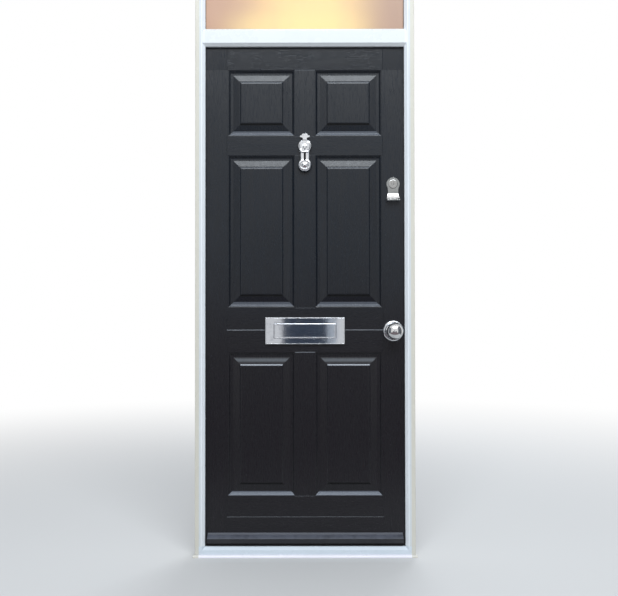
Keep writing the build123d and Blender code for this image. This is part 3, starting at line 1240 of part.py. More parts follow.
with BuildPart() as cylinder_plug:
    with BuildSketch(out_from_leaf(CYLINDER_BACK)):
        with Locations((KNOB_X, CYLINDER_HEIGHT)):
            Circle(PLUG_RADIUS)
    extrude(amount=CYLINDER_FRONT - CYLINDER_BACK)
    with BuildSketch(out_from_leaf(CYLINDER_FRONT - KEYWAY_DEPTH)):
        with Locations((KNOB_X, CYLINDER_HEIGHT)):
            Rectangle(KEYWAY_WIDTH, KEYWAY_HEIGHT)
    extrude(amount=KEYWAY_DEPTH, mode=Mode.SUBTRACT)
    with BuildSketch(in_from_leaf(TAIL_REACH)):
        with Locations((KNOB_X, CYLINDER_HEIGHT)):
            Rectangle(TAIL_THICKNESS, TAIL_WIDTH)
    extrude(amount=TAIL_REACH + CASE_WALL)
finish(cylinder_plug, "cylinder_plug")

# Night latch case, open at its back against the leaf
CASE_RIGHT = LEAF_HALF - CASE_EDGE_GAP
CASE_CENTRE = CASE_RIGHT - CASE_LENGTH / 2
SNIB_X = KNOB_X + SNIB_OFFSET
SNIB_SLOT = SNIB_TRAVEL + SNIB_STEM_HEIGHT
with BuildPart() as latch_case:
    with BuildSketch(in_from_leaf(CASE_DEPTH)):
        with Locations((CASE_CENTRE, CYLINDER_HEIGHT)):
            Rectangle(CASE_LENGTH, CASE_HEIGHT)
    extrude(amount=CASE_DEPTH)
    fillet(edges().filter_by(Axis.Y), radius=CASE_CORNER)
    chamfer(faces().sort_by(Axis.Y)[-1].edges(), length=CASE_CHAMFER)
    with BuildSketch(in_from_leaf(CASE_DEPTH - CASE_WALL)):
        with Locations((CASE_CENTRE, CYLINDER_HEIGHT)):
            Rectangle(CASE_LENGTH - 2 * CASE_WALL, CASE_HEIGHT - 2 * CASE_WALL)
    extrude(amount=CASE_DEPTH - CASE_WALL, mode=Mode.SUBTRACT)
    with BuildSketch(Plane.YZ.offset(CASE_RIGHT)):
        with Locations((LEAF_BACK + BOLT_START + BOLT_DEPTH / 2, CYLINDER_HEIGHT)):
            Rectangle(BOLT_DEPTH + 2 * BOLT_CLEARANCE, BOLT_HEIGHT + 2 * BOLT_CLEARANCE)
    extrude(amount=-CASE_WALL, mode=Mode.SUBTRACT)
    with BuildSketch(in_from_leaf(CASE_DEPTH)):
        with Locations((KNOB_X, CYLINDER_HEIGHT)):
            Circle(TURN_SHAFT_RADIUS + PIN_CLEARANCE)
        with Locations((SNIB_X, CYLINDER_HEIGHT + SNIB_TRAVEL / 2)):
            Rectangle(SNIB_STEM + 2 * BOLT_CLEARANCE, SNIB_SLOT + 2 * BOLT_CLEARANCE)
    extrude(amount=CASE_WALL, mode=Mode.SUBTRACT)
finish(latch_case, "latch_case")

# Latch bolt, held back, with a tail whose slot the cam tip drives
BOLT_Y = LEAF_BACK + BOLT_START
CAM_TILT = TURN_SWING / 2
CAM_TIP_X = KNOB_X - CAM_ARM * math.sin(math.radians(CAM_TILT))
CAM_TIP_Z = CYLINDER_HEIGHT - CAM_ARM * math.cos(math.radians(CAM_TILT))
TAIL_TOP = CYLINDER_HEIGHT - CAM_ARM + CAM_SLOT
TAIL_LOW = CYLINDER_HEIGHT - CAM_ARM - CAM_SLOT - CAM_SLOT_FOOT
BOLT_BACK = CASE_RIGHT - BOLT_LENGTH
with BuildPart() as latch_bolt:
    with BuildSketch(Plane.XY.offset(CYLINDER_HEIGHT - BOLT_HEIGHT / 2)):
        with BuildLine():
            Polyline(
                (BOLT_BACK, BOLT_Y),
                (CASE_RIGHT - BOLT_BEVEL, BOLT_Y),
                (CASE_RIGHT, BOLT_Y + BOLT_BEVEL),
                (CASE_RIGHT, BOLT_Y + BOLT_DEPTH),
                (BOLT_BACK, BOLT_Y + BOLT_DEPTH),
                close=True,
            )
        make_face()
    extrude(amount=BOLT_HEIGHT)
    with BuildSketch(in_from_leaf(TAIL_START + BOLT_TAIL)):
        with BuildLine():
            Polyline(
                (BOLT_BACK, CYLINDER_HEIGHT),
                (BOLT_BACK - TAIL_NECK, CYLINDER_HEIGHT - TAIL_NECK_DROP),
                (BOLT_BACK - TAIL_NECK, TAIL_TOP),
                (CAM_TIP_X - CAM_SLOT, TAIL_TOP),
                (CAM_TIP_X - CAM_SLOT, TAIL_LOW),
                (BOLT_BACK, TAIL_LOW),
                close=True,
            )
        make_face()
        with Locations((CAM_TIP_X, TAIL_TOP)):
            Rectangle(CAM_SLOT, 2 * (TAIL_TOP - TAIL_LOW - TAIL_FLOOR), mode=Mode.SUBTRACT)
    extrude(amount=BOLT_TAIL)
finish(latch_bolt, "latch_bolt")

# Turn knob with its shaft, cam arm and drive pin
with BuildPart() as latch_turn:
    with BuildSketch(in_from_leaf(CASE_DEPTH)):
        with Locations((KNOB_X, CYLINDER_HEIGHT)):
            Circle(TURN_SHAFT_RADIUS)
    extrude(amount=CASE_DEPTH - CAM_START)
    with BuildSketch(in_from_leaf(CAM_START + CAM_PLATE)):
        with Locations((KNOB_X, CYLINDER_HEIGHT), (CAM_TIP_X, CAM_TIP_Z)):
            Circle(CAM_END_RADIUS)
        with BuildLine():
            Line((KNOB_X, CYLINDER_HEIGHT), (CAM_TIP_X, CAM_TIP_Z))
        trace(line_width=CAM_WIDTH)
    extrude(amount=CAM_PLATE)
    with BuildSketch(in_from_leaf(CAM_START)):
        with Locations((CAM_TIP_X, CAM_TIP_Z)):
            Circle(CAM_TIP_RADIUS)
    extrude(amount=CAM_START - TAIL_START)
    with BuildSketch(in_from_leaf(CASE_DEPTH + CLOSE_GAP)):
        with Locations((KNOB_X, CYLINDER_HEIGHT)):
            Circle(TURN_BOSS_RADIUS)
    extrude(amount=-TURN_BOSS)
    with BuildSketch(in_from_leaf(CASE_DEPTH + CLOSE_GAP)):
        with Locations((KNOB_X, CYLINDER_HEIGHT)):
            SlotOverall(TURN_LENGTH, TURN_WIDTH, rotation=90)
    extrude(amount=-TURN_PROUD)
    chamfer(faces().sort_by(Axis.Y)[-1].edges(), length=TURN_CHAMFER)
    with BuildSketch(in_from_leaf(CASE_DEPTH + CLOSE_GAP)):
        with Locations((KNOB_X, CYLINDER_HEIGHT)):
            Circle(TURN_SHAFT_RADIUS)
    extrude(amount=CLOSE_GAP)
finish(latch_turn, "latch_turn")

# Snib that slides down to hold the bolt
with BuildPart() as latch_snib:
    with BuildSketch(in_from_leaf(CASE_DEPTH + CLOSE_GAP)):
        with Locations((SNIB_X, CYLINDER_HEIGHT)):
            Rectangle(SNIB_STEM, SNIB_STEM_HEIGHT)
    extrude(amount=CASE_WALL + 2 * CLOSE_GAP)
    with BuildSketch(in_from_leaf(CASE_DEPTH + CLOSE_GAP)):
        with Locations((SNIB_X, CYLINDER_HEIGHT)):
            SlotOverall(SNIB_BUTTON_LENGTH, SNIB_BUTTON_WIDTH, rotation=90)
    extrude(amount=-SNIB_STEM)
finish(latch_snib, "latch_snib")

# Staple on the frame that the bolt shoots into
STAPLE_LEFT = POCKET_HALF + STAPLE_MARGIN
STAPLE_RIGHT = FRAME_WIDTH / 2
with BuildPart() as latch_staple:
    with BuildSketch(facing_out(FRAME_BACK + STAPLE_DEPTH)):
        with Locations(((STAPLE_LEFT + STAPLE_RIGHT) / 2, CYLINDER_HEIGHT)):
            Rectangle(STAPLE_RIGHT - STAPLE_LEFT, STAPLE_HEIGHT)
    extrude(amount=STAPLE_DEPTH)
    fillet(edges().filter_by(Axis.Y).group_by(Axis.X)[-1], radius=STAPLE_WALL)
    with BuildSketch(Plane.YZ.offset(STAPLE_LEFT)):
        with Locations((BOLT_Y + BOLT_DEPTH / 2, CYLINDER_HEIGHT)):
            Rectangle(BOLT_DEPTH + STAPLE_WALL, BOLT_HEIGHT + STAPLE_WALL)
    extrude(amount=STAPLE_RIGHT - STAPLE_LEFT - STAPLE_WALL, mode=Mode.SUBTRACT)
finish(latch_staple, "latch_staple")
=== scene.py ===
import json
import math

import bmesh
import bpy
from mathutils import Matrix, Vector


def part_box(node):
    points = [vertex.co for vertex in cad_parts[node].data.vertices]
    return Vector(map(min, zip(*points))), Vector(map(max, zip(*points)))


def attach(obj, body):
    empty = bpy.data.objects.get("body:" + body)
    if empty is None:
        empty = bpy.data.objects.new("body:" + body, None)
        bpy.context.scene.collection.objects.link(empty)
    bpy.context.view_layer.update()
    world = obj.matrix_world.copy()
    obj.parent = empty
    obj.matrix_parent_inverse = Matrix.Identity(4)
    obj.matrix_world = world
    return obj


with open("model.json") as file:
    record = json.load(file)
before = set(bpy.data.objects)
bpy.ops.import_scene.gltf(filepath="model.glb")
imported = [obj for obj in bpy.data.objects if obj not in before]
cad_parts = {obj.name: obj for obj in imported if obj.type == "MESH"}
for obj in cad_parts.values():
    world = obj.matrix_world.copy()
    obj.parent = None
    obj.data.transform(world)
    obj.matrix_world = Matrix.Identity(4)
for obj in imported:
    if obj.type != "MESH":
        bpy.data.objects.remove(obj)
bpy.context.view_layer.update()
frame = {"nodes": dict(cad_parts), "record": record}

# Lengths are in metres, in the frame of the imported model: X right, -Y outside, Z up.
FRAME_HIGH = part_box("outer_frame")[1]
TRANSOM_LOW, TRANSOM_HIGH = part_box("transom")
PULL_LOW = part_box("cylinder_pull")[0]
PLATE_LOW, PLATE_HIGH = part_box("letter_plate_frame")
FLAP_LOW, FLAP_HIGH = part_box("letter_flap")
STAPLE_LOW, STAPLE_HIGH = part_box("latch_staple")

PANEL_ROWS = ((0.238, 0.811), (0.992, 1.605), (1.684, 1.951))
RAIL_BANDS = ((0.027, 0.238), (0.811, 0.992), (1.605, 1.684), (1.951, 2.055))
STILE_LINE = 0.3145
PANEL_SIDE = 0.3095
MUNTIN_SIDE = 0.041
LOCK_RAIL_LINE = 0.9015
BOTTOM_RAIL_LINE = 0.153

# The panels' moulding, measured in from the panel's edge
SILL_WIDTH = 0.0155
QUIRK = (0.0435, 0.0515)
BEAD = (0.0480, 0.0530)
HOLLOW_MIDDLE, HOLLOW_HALF = 0.0310, 0.0095

# For each row of panels, from the bottom: how strong the painted sky light on its sills is, how far up that painted
# light starts, and how strongly the painted highlights on its beads and hollows show
ROW_LIGHTS = ((1.0, 0.0002, 1.0), (0.58, 0.0065, 0.16), (0.58, 0.0046, 0.1))

# Screws on the room side
HINGE_HEIGHTS = (0.26, 1.04, 1.82)
HINGE_PLATE = 0.003
HINGE_SCREW_RISE = 0.032
FRAME_SCREW_X = -0.430
DOOR_SCREWS = ((-0.3823, -HINGE_SCREW_RISE), (-0.3823, HINGE_SCREW_RISE), (-0.3544, 0.0))
HINGE_SCREW = (0.0050, 0.0009)
STAPLE_SCREW = (0.0038, 0.0006)
STAPLE_SCREW_INSET = 0.010
STAPLE_SCREW_SHIFT = 0.0015

KNOCKER_PIVOT_Z = 1.641


# Shader trees

def socket(tree, node, value):
    """Feed one input: a link where the value is another socket, else a plain value."""
    if isinstance(value, bpy.types.NodeSocket):
        tree.links.new(value, node)
    else:
        node.default_value = value


def add_node(tree, kind, settings=None, **inputs):
    """A node of this kind, with its settings and its inputs by name."""
    node = tree.nodes.new(kind)
    for name, value in (settings or {}).items():
        setattr(node, name, value)
    for name, value in inputs.items():
        socket(tree, node.inputs[name.replace("_", " ")], value)
    return node


def maths(tree, operation, *values, clamp=False):
    node = tree.nodes.new("ShaderNodeMath")
    node.operation = operation
    node.use_clamp = clamp
    for slot, value in zip(node.inputs, values):
        socket(tree, slot, value)
    return node.outputs[0]


def spread(tree, value, low, high, to_low=0.0, to_high=1.0):
    """Map a value from one range to another, clamped and eased."""
    node = tree.nodes.new("ShaderNodeMapRange")
    node.interpolation_type = "SMOOTHSTEP"
    for slot, number in zip(node.inputs, (value, low, high, to_low, to_high)):
        socket(tree, slot, number)
    return node.outputs[0]


def mix_colour(tree, share, first, second):
    node = tree.nodes.new("ShaderNodeMix")
    node.data_type = "RGBA"
    socket(tree, node.inputs[0], share)
    for slot, colour in ((node.inputs[6], first), (node.inputs[7], second)):
        socket(tree, slot, (*colour, 1) if isinstance(colour, tuple) else colour)
    return node.outputs[2]


def mix_value(tree, share, first, second):
    node = tree.nodes.new("ShaderNodeMix")
    for slot, value in ((0, share), (2, first), (3, second)):
        socket(tree, node.inputs[slot], value)
    return node.outputs[0]


def place(tree, scale=(1, 1, 1)):
    """Object coordinates, stretched."""
    coords = tree.nodes.new("ShaderNodeTexCoord")
    mapping = tree.nodes.new("ShaderNodeMapping")
    mapping.inputs["Scale"].default_value = scale
    tree.links.new(coords.outputs["Object"], mapping.inputs["Vector"])
    return mapping.outputs[0]


def noise(tree, vector, scale, detail=4.0, roughness=0.55, distortion=0.0):
    node = add_node(tree, "ShaderNodeTexNoise", None, Vector=vector, Scale=scale, Detail=detail)
    node.inputs["Roughness"].default_value = roughness
    node.inputs["Distortion"].default_value = distortion
    return node.outputs["Fac"]


def parts_of(tree, kind, output):
    """The X, Y and Z of a vector, such as Object coordinates or the surface's normal."""
    source = tree.nodes.new(kind)
    split = tree.nodes.new("ShaderNodeSeparateXYZ")
    tree.links.new(source.outputs[output], split.inputs[0])
    return split.outputs


def position(tree):
    return parts_of(tree, "ShaderNodeTexCoord", "Object")


def facing(tree):
    return parts_of(tree, "ShaderNodeNewGeometry", "Normal")


def near(tree, value, line, half_width):
    """1 on a line, falling to 0 at this distance from it."""
    gap = maths(tree, "ABSOLUTE", maths(tree, "SUBTRACT", value, line))
    return spread(tree, gap, half_width, half_width * 0.3)


def within(tree, value, low, high, edge=0.0004):
    return maths(
        tree, "MULTIPLY", spread(tree, value, low - edge, low + edge), spread(tree, value, high + edge, high - edge)
    )


def new_group(name, inputs, outputs):
    """A node group with named inputs (name, value) and outputs (name, kind)."""
    tree = bpy.data.node_groups.new(name, "ShaderNodeTree")
    for label, value in inputs:
        made = tree.interface.new_socket(label, in_out="INPUT", socket_type="NodeSocketFloat")
        made.default_value = value
    for label, kind in outputs:
        tree.interface.new_socket(label, in_out="OUTPUT", socket_type="NodeSocket" + kind)
    return tree, tree.nodes.new("NodeGroupInput").outputs, tree.nodes.new("NodeGroupOutput").inputs


def grain_group():
    """Pressed wood grain that runs upright, or along X where Sideways is 1."""
    tree, given, out = new_group(
        "wood_grain", [("Fineness", 1.0), ("Sideways", 0.0)], [("Height", "Float"), ("Tone", "Float")]
    )
    heights = []
    for scale in ((1, 1, 0.05), (0.05, 1, 1)):
        vector = place(tree, scale)
        rings = noise(tree, vector, maths(tree, "MULTIPLY", given[0], 60.0), 3.0, 0.6, 1.2)
        pores = noise(tree, vector, maths(tree, "MULTIPLY", given[0], 520.0), 2.0, 0.5)
        pits = spread(tree, pores, 0.66, 0.54)
        heights.append(mix_value(tree, 0.45, rings, pits))
    height = mix_value(tree, given[1], heights[0], heights[1])
    tree.links.new(height, out[0])
    tree.links.new(spread(tree, height, 0.45, 0.85), out[1])
    return tree


def patches_group():
    """Soft uneven patches, for handling, dust and weather."""
    tree, given, out = new_group("soft_patches", [("Size", 1.0), ("Cover", 0.5)], [("Mask", "Float")])
    cloud = noise(tree, place(tree), maths(tree, "DIVIDE", 1.0, given[0]), 6.0, 0.62)
    edge = maths(tree, "SUBTRACT", 1.0, given[1])
    mask = spread(tree, cloud, maths(tree, "MULTIPLY", edge, 0.8), maths(tree, "ADD", edge, 0.25))
    tree.links.new(mask, out[0])
    return tree


def wear_group():
    """A broken mask along the rubbed edges of a piece, and its normal with those edges eased."""
    tree, given, out = new_group(
        "edge_wear", [("Width", 0.001), ("Amount", 0.5)], [("Mask", "Float"), ("Normal", "Vector")]
    )
    eased = add_node(tree, "ShaderNodeBevel", {"samples": 4}, Radius=given[0])
    flat = tree.nodes.new("ShaderNodeNewGeometry")
    dot = tree.nodes.new("ShaderNodeVectorMath")
    dot.operation = "DOT_PRODUCT"
    tree.links.new(eased.outputs[0], dot.inputs[0])
    tree.links.new(flat.outputs["Normal"], dot.inputs[1])
    edge = spread(tree, dot.outputs["Value"], 0.995, 0.8)
    broken = spread(tree, noise(tree, place(tree), 160.0, 5.0), 0.35, 0.6)
    mask = maths(tree, "MULTIPLY", maths(tree, "MULTIPLY", edge, broken), given[1])
    tree.links.new(mask, out[0])
    tree.links.new(eased.outputs[0], out[1])
    return tree


def dust_and_painted_light_group():
    """Dust settled on faces turned up, thicker in soft patches; it also carries painted light: grey painted shade on
    the white frame and pale painted sky light on the black pieces.
    """
    tree, given, out = new_group("settled_dust_and_painted_light", [("Steepest", 0.25), ("Amount", 0.5)], [("Mask", "Float")])
    up = spread(tree, facing(tree)[2], given[0], maths(tree, "ADD", given[0], 0.4))
    cloud = spread(tree, noise(tree, place(tree), 28.0, 5.0), 0.25, 0.6, 0.45, 1.0)
    tree.links.new(maths(tree, "MULTIPLY", maths(tree, "MULTIPLY", up, cloud), given[1]), out[0])
    return tree


def brushed_group():
    """Fine drawn lines along X, for satin metal."""
    tree, given, out = new_group("brushed_lines", [("Fineness", 1.0)], [("Line", "Float")])
    line = noise(tree, place(tree, (0.02, 1, 1)), maths(tree, "MULTIPLY", given[0], 1800.0), 2.0, 0.6)
    tree.links.new(line, out[0])
    return tree


GRAIN = grain_group()
PATCHES = patches_group()
WEAR = wear_group()
DUST_AND_PAINTED_LIGHT = dust_and_painted_light_group()
BRUSHED = brushed_group()


def use_group(tree, group, **inputs):
    node = tree.nodes.new("ShaderNodeGroup")
    node.node_tree = group
    for name, value in inputs.items():
        socket(tree, node.inputs[name], value)
    return node.outputs


def new_material(name, **settings):
    """A material with its Principled shader; plain settings go on the shader's own sockets."""
    material = bpy.data.materials.new(name)
    material.use_nodes = True
    tree = material.node_tree
    shader = tree.nodes["Principled BSDF"]
    for label, value in settings.items():
        shader.inputs[label.replace("_", " ")].default_value = value
    return material, tree, shader


def finish(tree, shader, colour, roughness, height, depth, strength=1.0, normal=None):
    """Link the colour, roughness and bump of a material."""
    tree.links.new(colour, shader.inputs["Base Color"])
    tree.links.new(roughness, shader.inputs["Roughness"])
    bump = add_node(tree, "ShaderNodeBump", None, Strength=strength, Distance=depth, Height=height)
    if normal:
        tree.links.new(normal, bump.inputs["Normal"])
    tree.links.new(bump.outputs[0], shader.inputs["Normal"])


# Finishes

def dressed(name, colour, tone, roughness, metallic=0.0, wear=0.3, worn=None, fine=220.0, depth=0.00004, size=0.12,
            dust_and_sky_light=0.0, dust_and_sky_light_colour=(0.3, 0.3, 0.3), lip_highlight=None):
    """A finish with patchy colour and gloss, a fine bump, rubbed edges and, where given, settled dusting that is also
    painted sky light and a painted highlight above a height.
    """
    material, tree, shader = new_material(name, Metallic=metallic)
    patch = use_group(tree, PATCHES, Size=size, Cover=0.5)[0]
    edge = use_group(tree, WEAR, Width=0.0012, Amount=wear)
    base = mix_colour(tree, patch, colour, tone)
    base = mix_colour(tree, edge[0], base, worn or tone)
    # Dust on faces turned up, also painted sky light in its pale colour.
    if dust_and_sky_light:
        base = mix_colour(tree, use_group(tree, DUST_AND_PAINTED_LIGHT, Steepest=0.25, Amount=dust_and_sky_light)[0], base, dust_and_sky_light_colour)
    # Painted highlight: a pale band along the top edge, above this height.
    if lip_highlight:
        base = mix_colour(tree, spread(tree, position(tree)[2], lip_highlight - 0.002, lip_highlight, 0.0, 0.8), base, (0.15, 0.16, 0.19))
    grit = noise(tree, place(tree), fine, 4.0)
    gloss = maths(tree, "ADD", spread(tree, patch, 0.0, 1.0, roughness[0], roughness[1]),
                  maths(tree, "MULTIPLY", maths(tree, "SUBTRACT", grit, 0.5), 0.08), clamp=True)
    finish(tree, shader, base, gloss, grit, depth, normal=edge[1])
    return material


def frame_white():
    """White welded frame: aged outer strip, weld lines at the corners, a settled dusting on faces turned up that is
    also painted shade, darker towards the bottom in patches, and painted light: paler bevels beside the leaf, a
    brighter transom face, a paler, bluer threshold face and a highlight along the nose at the very bottom.
    """
    material, tree, shader = new_material("frame_white", Specular_IOR_Level=0.4)
    x, y, z = position(tree)
    across = maths(tree, "ABSOLUTE", x)
    patch = use_group(tree, PATCHES, Size=0.4, Cover=0.5)[0]
    edge = use_group(tree, WEAR, Width=0.0012, Amount=0.2)
    base = mix_colour(tree, patch, (0.65, 0.685, 0.71), (0.68, 0.715, 0.74))
    # Painted light: the jambs' inner bevels beside the leaf are painted paler, as if more light fell on them.
    painted_splay_light = maths(tree, "MULTIPLY", within(tree, across, 0.4, 0.4155), spread(tree, z, 0.03, 0.04))
    base = mix_colour(tree, painted_splay_light, base, (0.80, 0.84, 0.875))
    # Painted sky light: the threshold's face, below the leaf, is painted paler and bluer.
    painted_sky_low_face = spread(tree, z, 0.0425, 0.0415)
    base = mix_colour(tree, painted_sky_low_face, base, (0.68, 0.755, 0.83))
    # Painted highlight: the top of the nose along the very bottom is painted near white.
    base = mix_colour(tree, spread(tree, z, 0.0108, 0.0102), base, (0.86, 0.84, 0.92))
    # Painted light: the transom's face is painted brighter than the jambs.
    painted_transom_light = maths(
        tree, "MULTIPLY", within(tree, z, TRANSOM_LOW.z, TRANSOM_HIGH.z), spread(tree, across, 0.402, 0.400)
    )
    base = mix_colour(tree, painted_transom_light, base, (0.74, 0.775, 0.80))
    strip = maths(
        tree, "MAXIMUM", spread(tree, across, FRAME_HIGH.x - 0.0175, FRAME_HIGH.x - 0.0145),
        spread(tree, z, FRAME_HIGH.z - 0.0175, FRAME_HIGH.z - 0.0145)
    )
    base = mix_colour(tree, maths(tree, "MULTIPLY", strip, 0.9), base, (0.655, 0.63, 0.545))
    side = maths(tree, "SUBTRACT", FRAME_HIGH.x, across)
    corner_lines = []
    for from_end in (maths(tree, "SUBTRACT", FRAME_HIGH.z, z), z):
        line = near(tree, maths(tree, "SUBTRACT", side, from_end), 0.0, 0.0007)
        corner_lines.append(maths(tree, "MULTIPLY", line, spread(tree, from_end, 0.0425, 0.0415)))
    weld = maths(tree, "MAXIMUM", *corner_lines)
    base = mix_colour(tree, maths(tree, "MULTIPLY", weld, 0.55), base, (0.42, 0.44, 0.46))
    # Darker towards the bottom, in soft patches.
    low_down = maths(tree, "MULTIPLY", spread(tree, z, 0.5, 0.02, 0.0, 0.12), patch)
    base = mix_colour(tree, low_down, base, (0.50, 0.53, 0.56))
    # Dust on faces turned up, also painted shade: it greys the threshold's top, which lies in shadow.
    base = mix_colour(tree, use_group(tree, DUST_AND_PAINTED_LIGHT, Steepest=0.6, Amount=0.35)[0], base, (0.55, 0.58, 0.60))
    base = mix_colour(tree, edge[0], base, (0.86, 0.89, 0.92))
    grit = noise(tree, place(tree), 500.0, 3.0)
    height = maths(tree, "SUBTRACT", grit, maths(tree, "MULTIPLY", weld, 12.0))
    finish(tree, shader, base, spread(tree, patch, 0.0, 1.0, 0.26, 0.40), height, 0.00002, normal=edge[1])
    return material


def leaf_black():
    """Satin black skin with a pressed grain, upright on stiles and panels and level on the rails."""
    material, tree, shader = new_material("leaf_black", Specular_IOR_Level=0.36)
    x, y, z = position(tree)
    bands = [within(tree, z, low, high) for low, high in RAIL_BANDS]
    on_rails = bands[0]
    for band in bands[1:]:
        on_rails = maths(tree, "MAXIMUM", on_rails, band)
    inside = spread(tree, maths(tree, "ABSOLUTE", x), STILE_LINE + 0.0004, STILE_LINE - 0.0004)
    on_rails = maths(tree, "MULTIPLY", on_rails, inside)
    grain = use_group(tree, GRAIN, Fineness=1.0, Sideways=on_rails)
    patch = use_group(tree, PATCHES, Size=0.3, Cover=0.5)[0]
    edge = use_group(tree, WEAR, Width=0.0014, Amount=0.3)
    base = mix_colour(tree, patch, (0.0050, 0.0088, 0.0150), (0.0078, 0.0120, 0.0190))
    # Painted reflection: the skin is painted warmer towards the bottom, for the ground reflected in it.
    base = mix_colour(tree, spread(tree, z, 1.25, 0.75), base, (0.0098, 0.0088, 0.0120))
    base = mix_colour(tree, maths(tree, "MULTIPLY", grain[1], 0.5), base, (0.0036, 0.0040, 0.0058))
    base = mix_colour(tree, edge[0], base, (0.05, 0.054, 0.062))
    outside = spread(tree, y, 0.004, -0.004)
    inset = maths(tree, "MINIMUM", maths(tree, "SUBTRACT", PANEL_SIDE, maths(tree, "ABSOLUTE", x)),
                  maths(tree, "SUBTRACT", maths(tree, "ABSOLUTE", x), MUNTIN_SIDE))
    # Dust on faces turned up, also painted sky light: its pale blue-grey lights the tops of the mouldings.
    dust_and_sky_light = use_group(tree, DUST_AND_PAINTED_LIGHT, Steepest=0.12, Amount=0.75)[0]
    base = mix_colour(tree, dust_and_sky_light, base, (0.085, 0.095, 0.115))
    gloss = spread(tree, grain[1], 0.0, 1.0, 0.23, 0.33)
    gloss = mix_value(tree, bands[3], gloss, spread(tree, grain[1], 0.0, 1.0, 0.17, 0.23))
    for (low, high), (sill_share, sill_low, bead_share) in zip(PANEL_ROWS, ROW_LIGHTS):
        rise = maths(tree, "SUBTRACT", z, low)
        mitre = spread(tree, maths(tree, "SUBTRACT", inset, rise), -0.0008, 0.0008)
        # Painted shade: a near-black line in the quirks at the foot of each panel's field.
        quirk_shade = maths(tree, "MULTIPLY", within(tree, rise, *QUIRK, 0.0008), mitre)
        quirk_shade = maths(tree, "MULTIPLY", quirk_shade, outside)
        base = mix_colour(tree, quirk_shade, base, (0.0010, 0.0012, 0.0018))
        gloss = mix_value(tree, quirk_shade, gloss, 0.95)
        # Painted sky light: a pale blue-grey band on the sills along the foot of each panel.
        sill_light = maths(tree, "MULTIPLY", within(tree, rise, sill_low, sill_low + SILL_WIDTH, 0.0012), mitre)
        sill_light = maths(tree, "MULTIPLY", maths(tree, "MULTIPLY", sill_light, outside), sill_share * 0.95)
        base = mix_colour(tree, sill_light, base, (0.150, 0.168, 0.205))
        # Painted highlight: a pale line on the beads just under each panel's top edge.
        bead_highlight = maths(tree, "MULTIPLY", within(tree, z, high - BEAD[1], high - BEAD[0], 0.0008),
                     spread(tree, inset, 0.048, 0.050))
        bead_highlight = maths(tree, "MULTIPLY", maths(tree, "MULTIPLY", bead_highlight, outside), bead_share)
        base = mix_colour(tree, bead_highlight, base, (0.30, 0.32, 0.36))
        drop = maths(tree, "SUBTRACT", high, z)
        mitre = spread(tree, maths(tree, "SUBTRACT", inset, drop), -0.0008, 0.0008)
        # Painted highlight: a pale band in the hollows of each panel's top moulding.
        hollow_highlight = maths(tree, "MULTIPLY", near(tree, drop, HOLLOW_MIDDLE, HOLLOW_HALF), mitre)
        hollow_highlight = maths(tree, "MULTIPLY", hollow_highlight, outside)
        base = mix_colour(tree, maths(tree, "MULTIPLY", hollow_highlight, bead_share * 0.75), base, (0.105, 0.115, 0.130))
    # Painted highlights: pale lines along the V-grooves of the lock rail and bottom rail, and at the muntin's joints.
    lines = maths(
        tree, "MAXIMUM", near(tree, z, LOCK_RAIL_LINE - 0.0004, 0.0016),
        maths(tree, "MULTIPLY", near(tree, z, BOTTOM_RAIL_LINE - 0.0004, 0.0014), 0.24)
    )
    lines = maths(tree, "MULTIPLY", lines, inside)
    on_muntin = spread(tree, maths(tree, "ABSOLUTE", x), MUNTIN_SIDE, MUNTIN_SIDE - 0.002)
    for height, share in ((PANEL_ROWS[0][1], 0.42), (PANEL_ROWS[2][1], 0.2)):
        joint = maths(tree, "MULTIPLY", maths(tree, "MULTIPLY", near(tree, z, height, 0.002), on_muntin), share)
        lines = maths(tree, "MAXIMUM", lines, joint)
    base = mix_colour(tree, maths(tree, "MULTIPLY", maths(tree, "MULTIPLY", lines, outside), 0.6), base,
                      (0.42, 0.45, 0.5))
    finish(tree, shader, base, gloss, grain[0], 0.00026, 0.45, normal=edge[1])
    return material


def obscure_glass():
    """Pressed obscure glass with painted light from a room behind it: it glows, peach at the left, yellow low in the
    middle, dusk at the right.
    """
    material, tree, shader = new_material(
        "obscure_glass", Metallic=0.0, IOR=1.45, Transmission_Weight=0.2, Emission_Strength=0.25
    )
    x, y, z = position(tree)
    cloud = noise(tree, place(tree, (1, 1, 0.6)), 5.0, 3.0)
    # Painted light: these warm colours stand for light from inside, not a tint of the glass.
    base = mix_colour(tree, spread(tree, x, -0.36, -0.02), (0.46, 0.28, 0.19), (0.80, 0.57, 0.27))
    base = mix_colour(tree, spread(tree, x, 0.08, 0.37), base, (0.40, 0.26, 0.19))
    low_glow = maths(
        tree, "MULTIPLY", spread(tree, z, TRANSOM_HIGH.z + 0.11, TRANSOM_HIGH.z + 0.01),
        within(tree, x, -0.3, 0.22, 0.1)
    )
    base = mix_colour(tree, maths(tree, "MULTIPLY", low_glow, 0.5), base, (0.82, 0.66, 0.30))
    base = mix_colour(tree, spread(tree, cloud, 0.45, 0.8, 0.0, 0.35), base, (0.50, 0.34, 0.25))
    # Painted light: the glass glows in these colours, though it is no lamp.
    tree.links.new(base, shader.inputs["Emission Color"])
    dimple = noise(tree, place(tree), 160.0, 2.0)
    finish(tree, shader, base, spread(tree, dimple, 0.3, 0.7, 0.28, 0.42), dimple, 0.0005, 0.5)
    return material


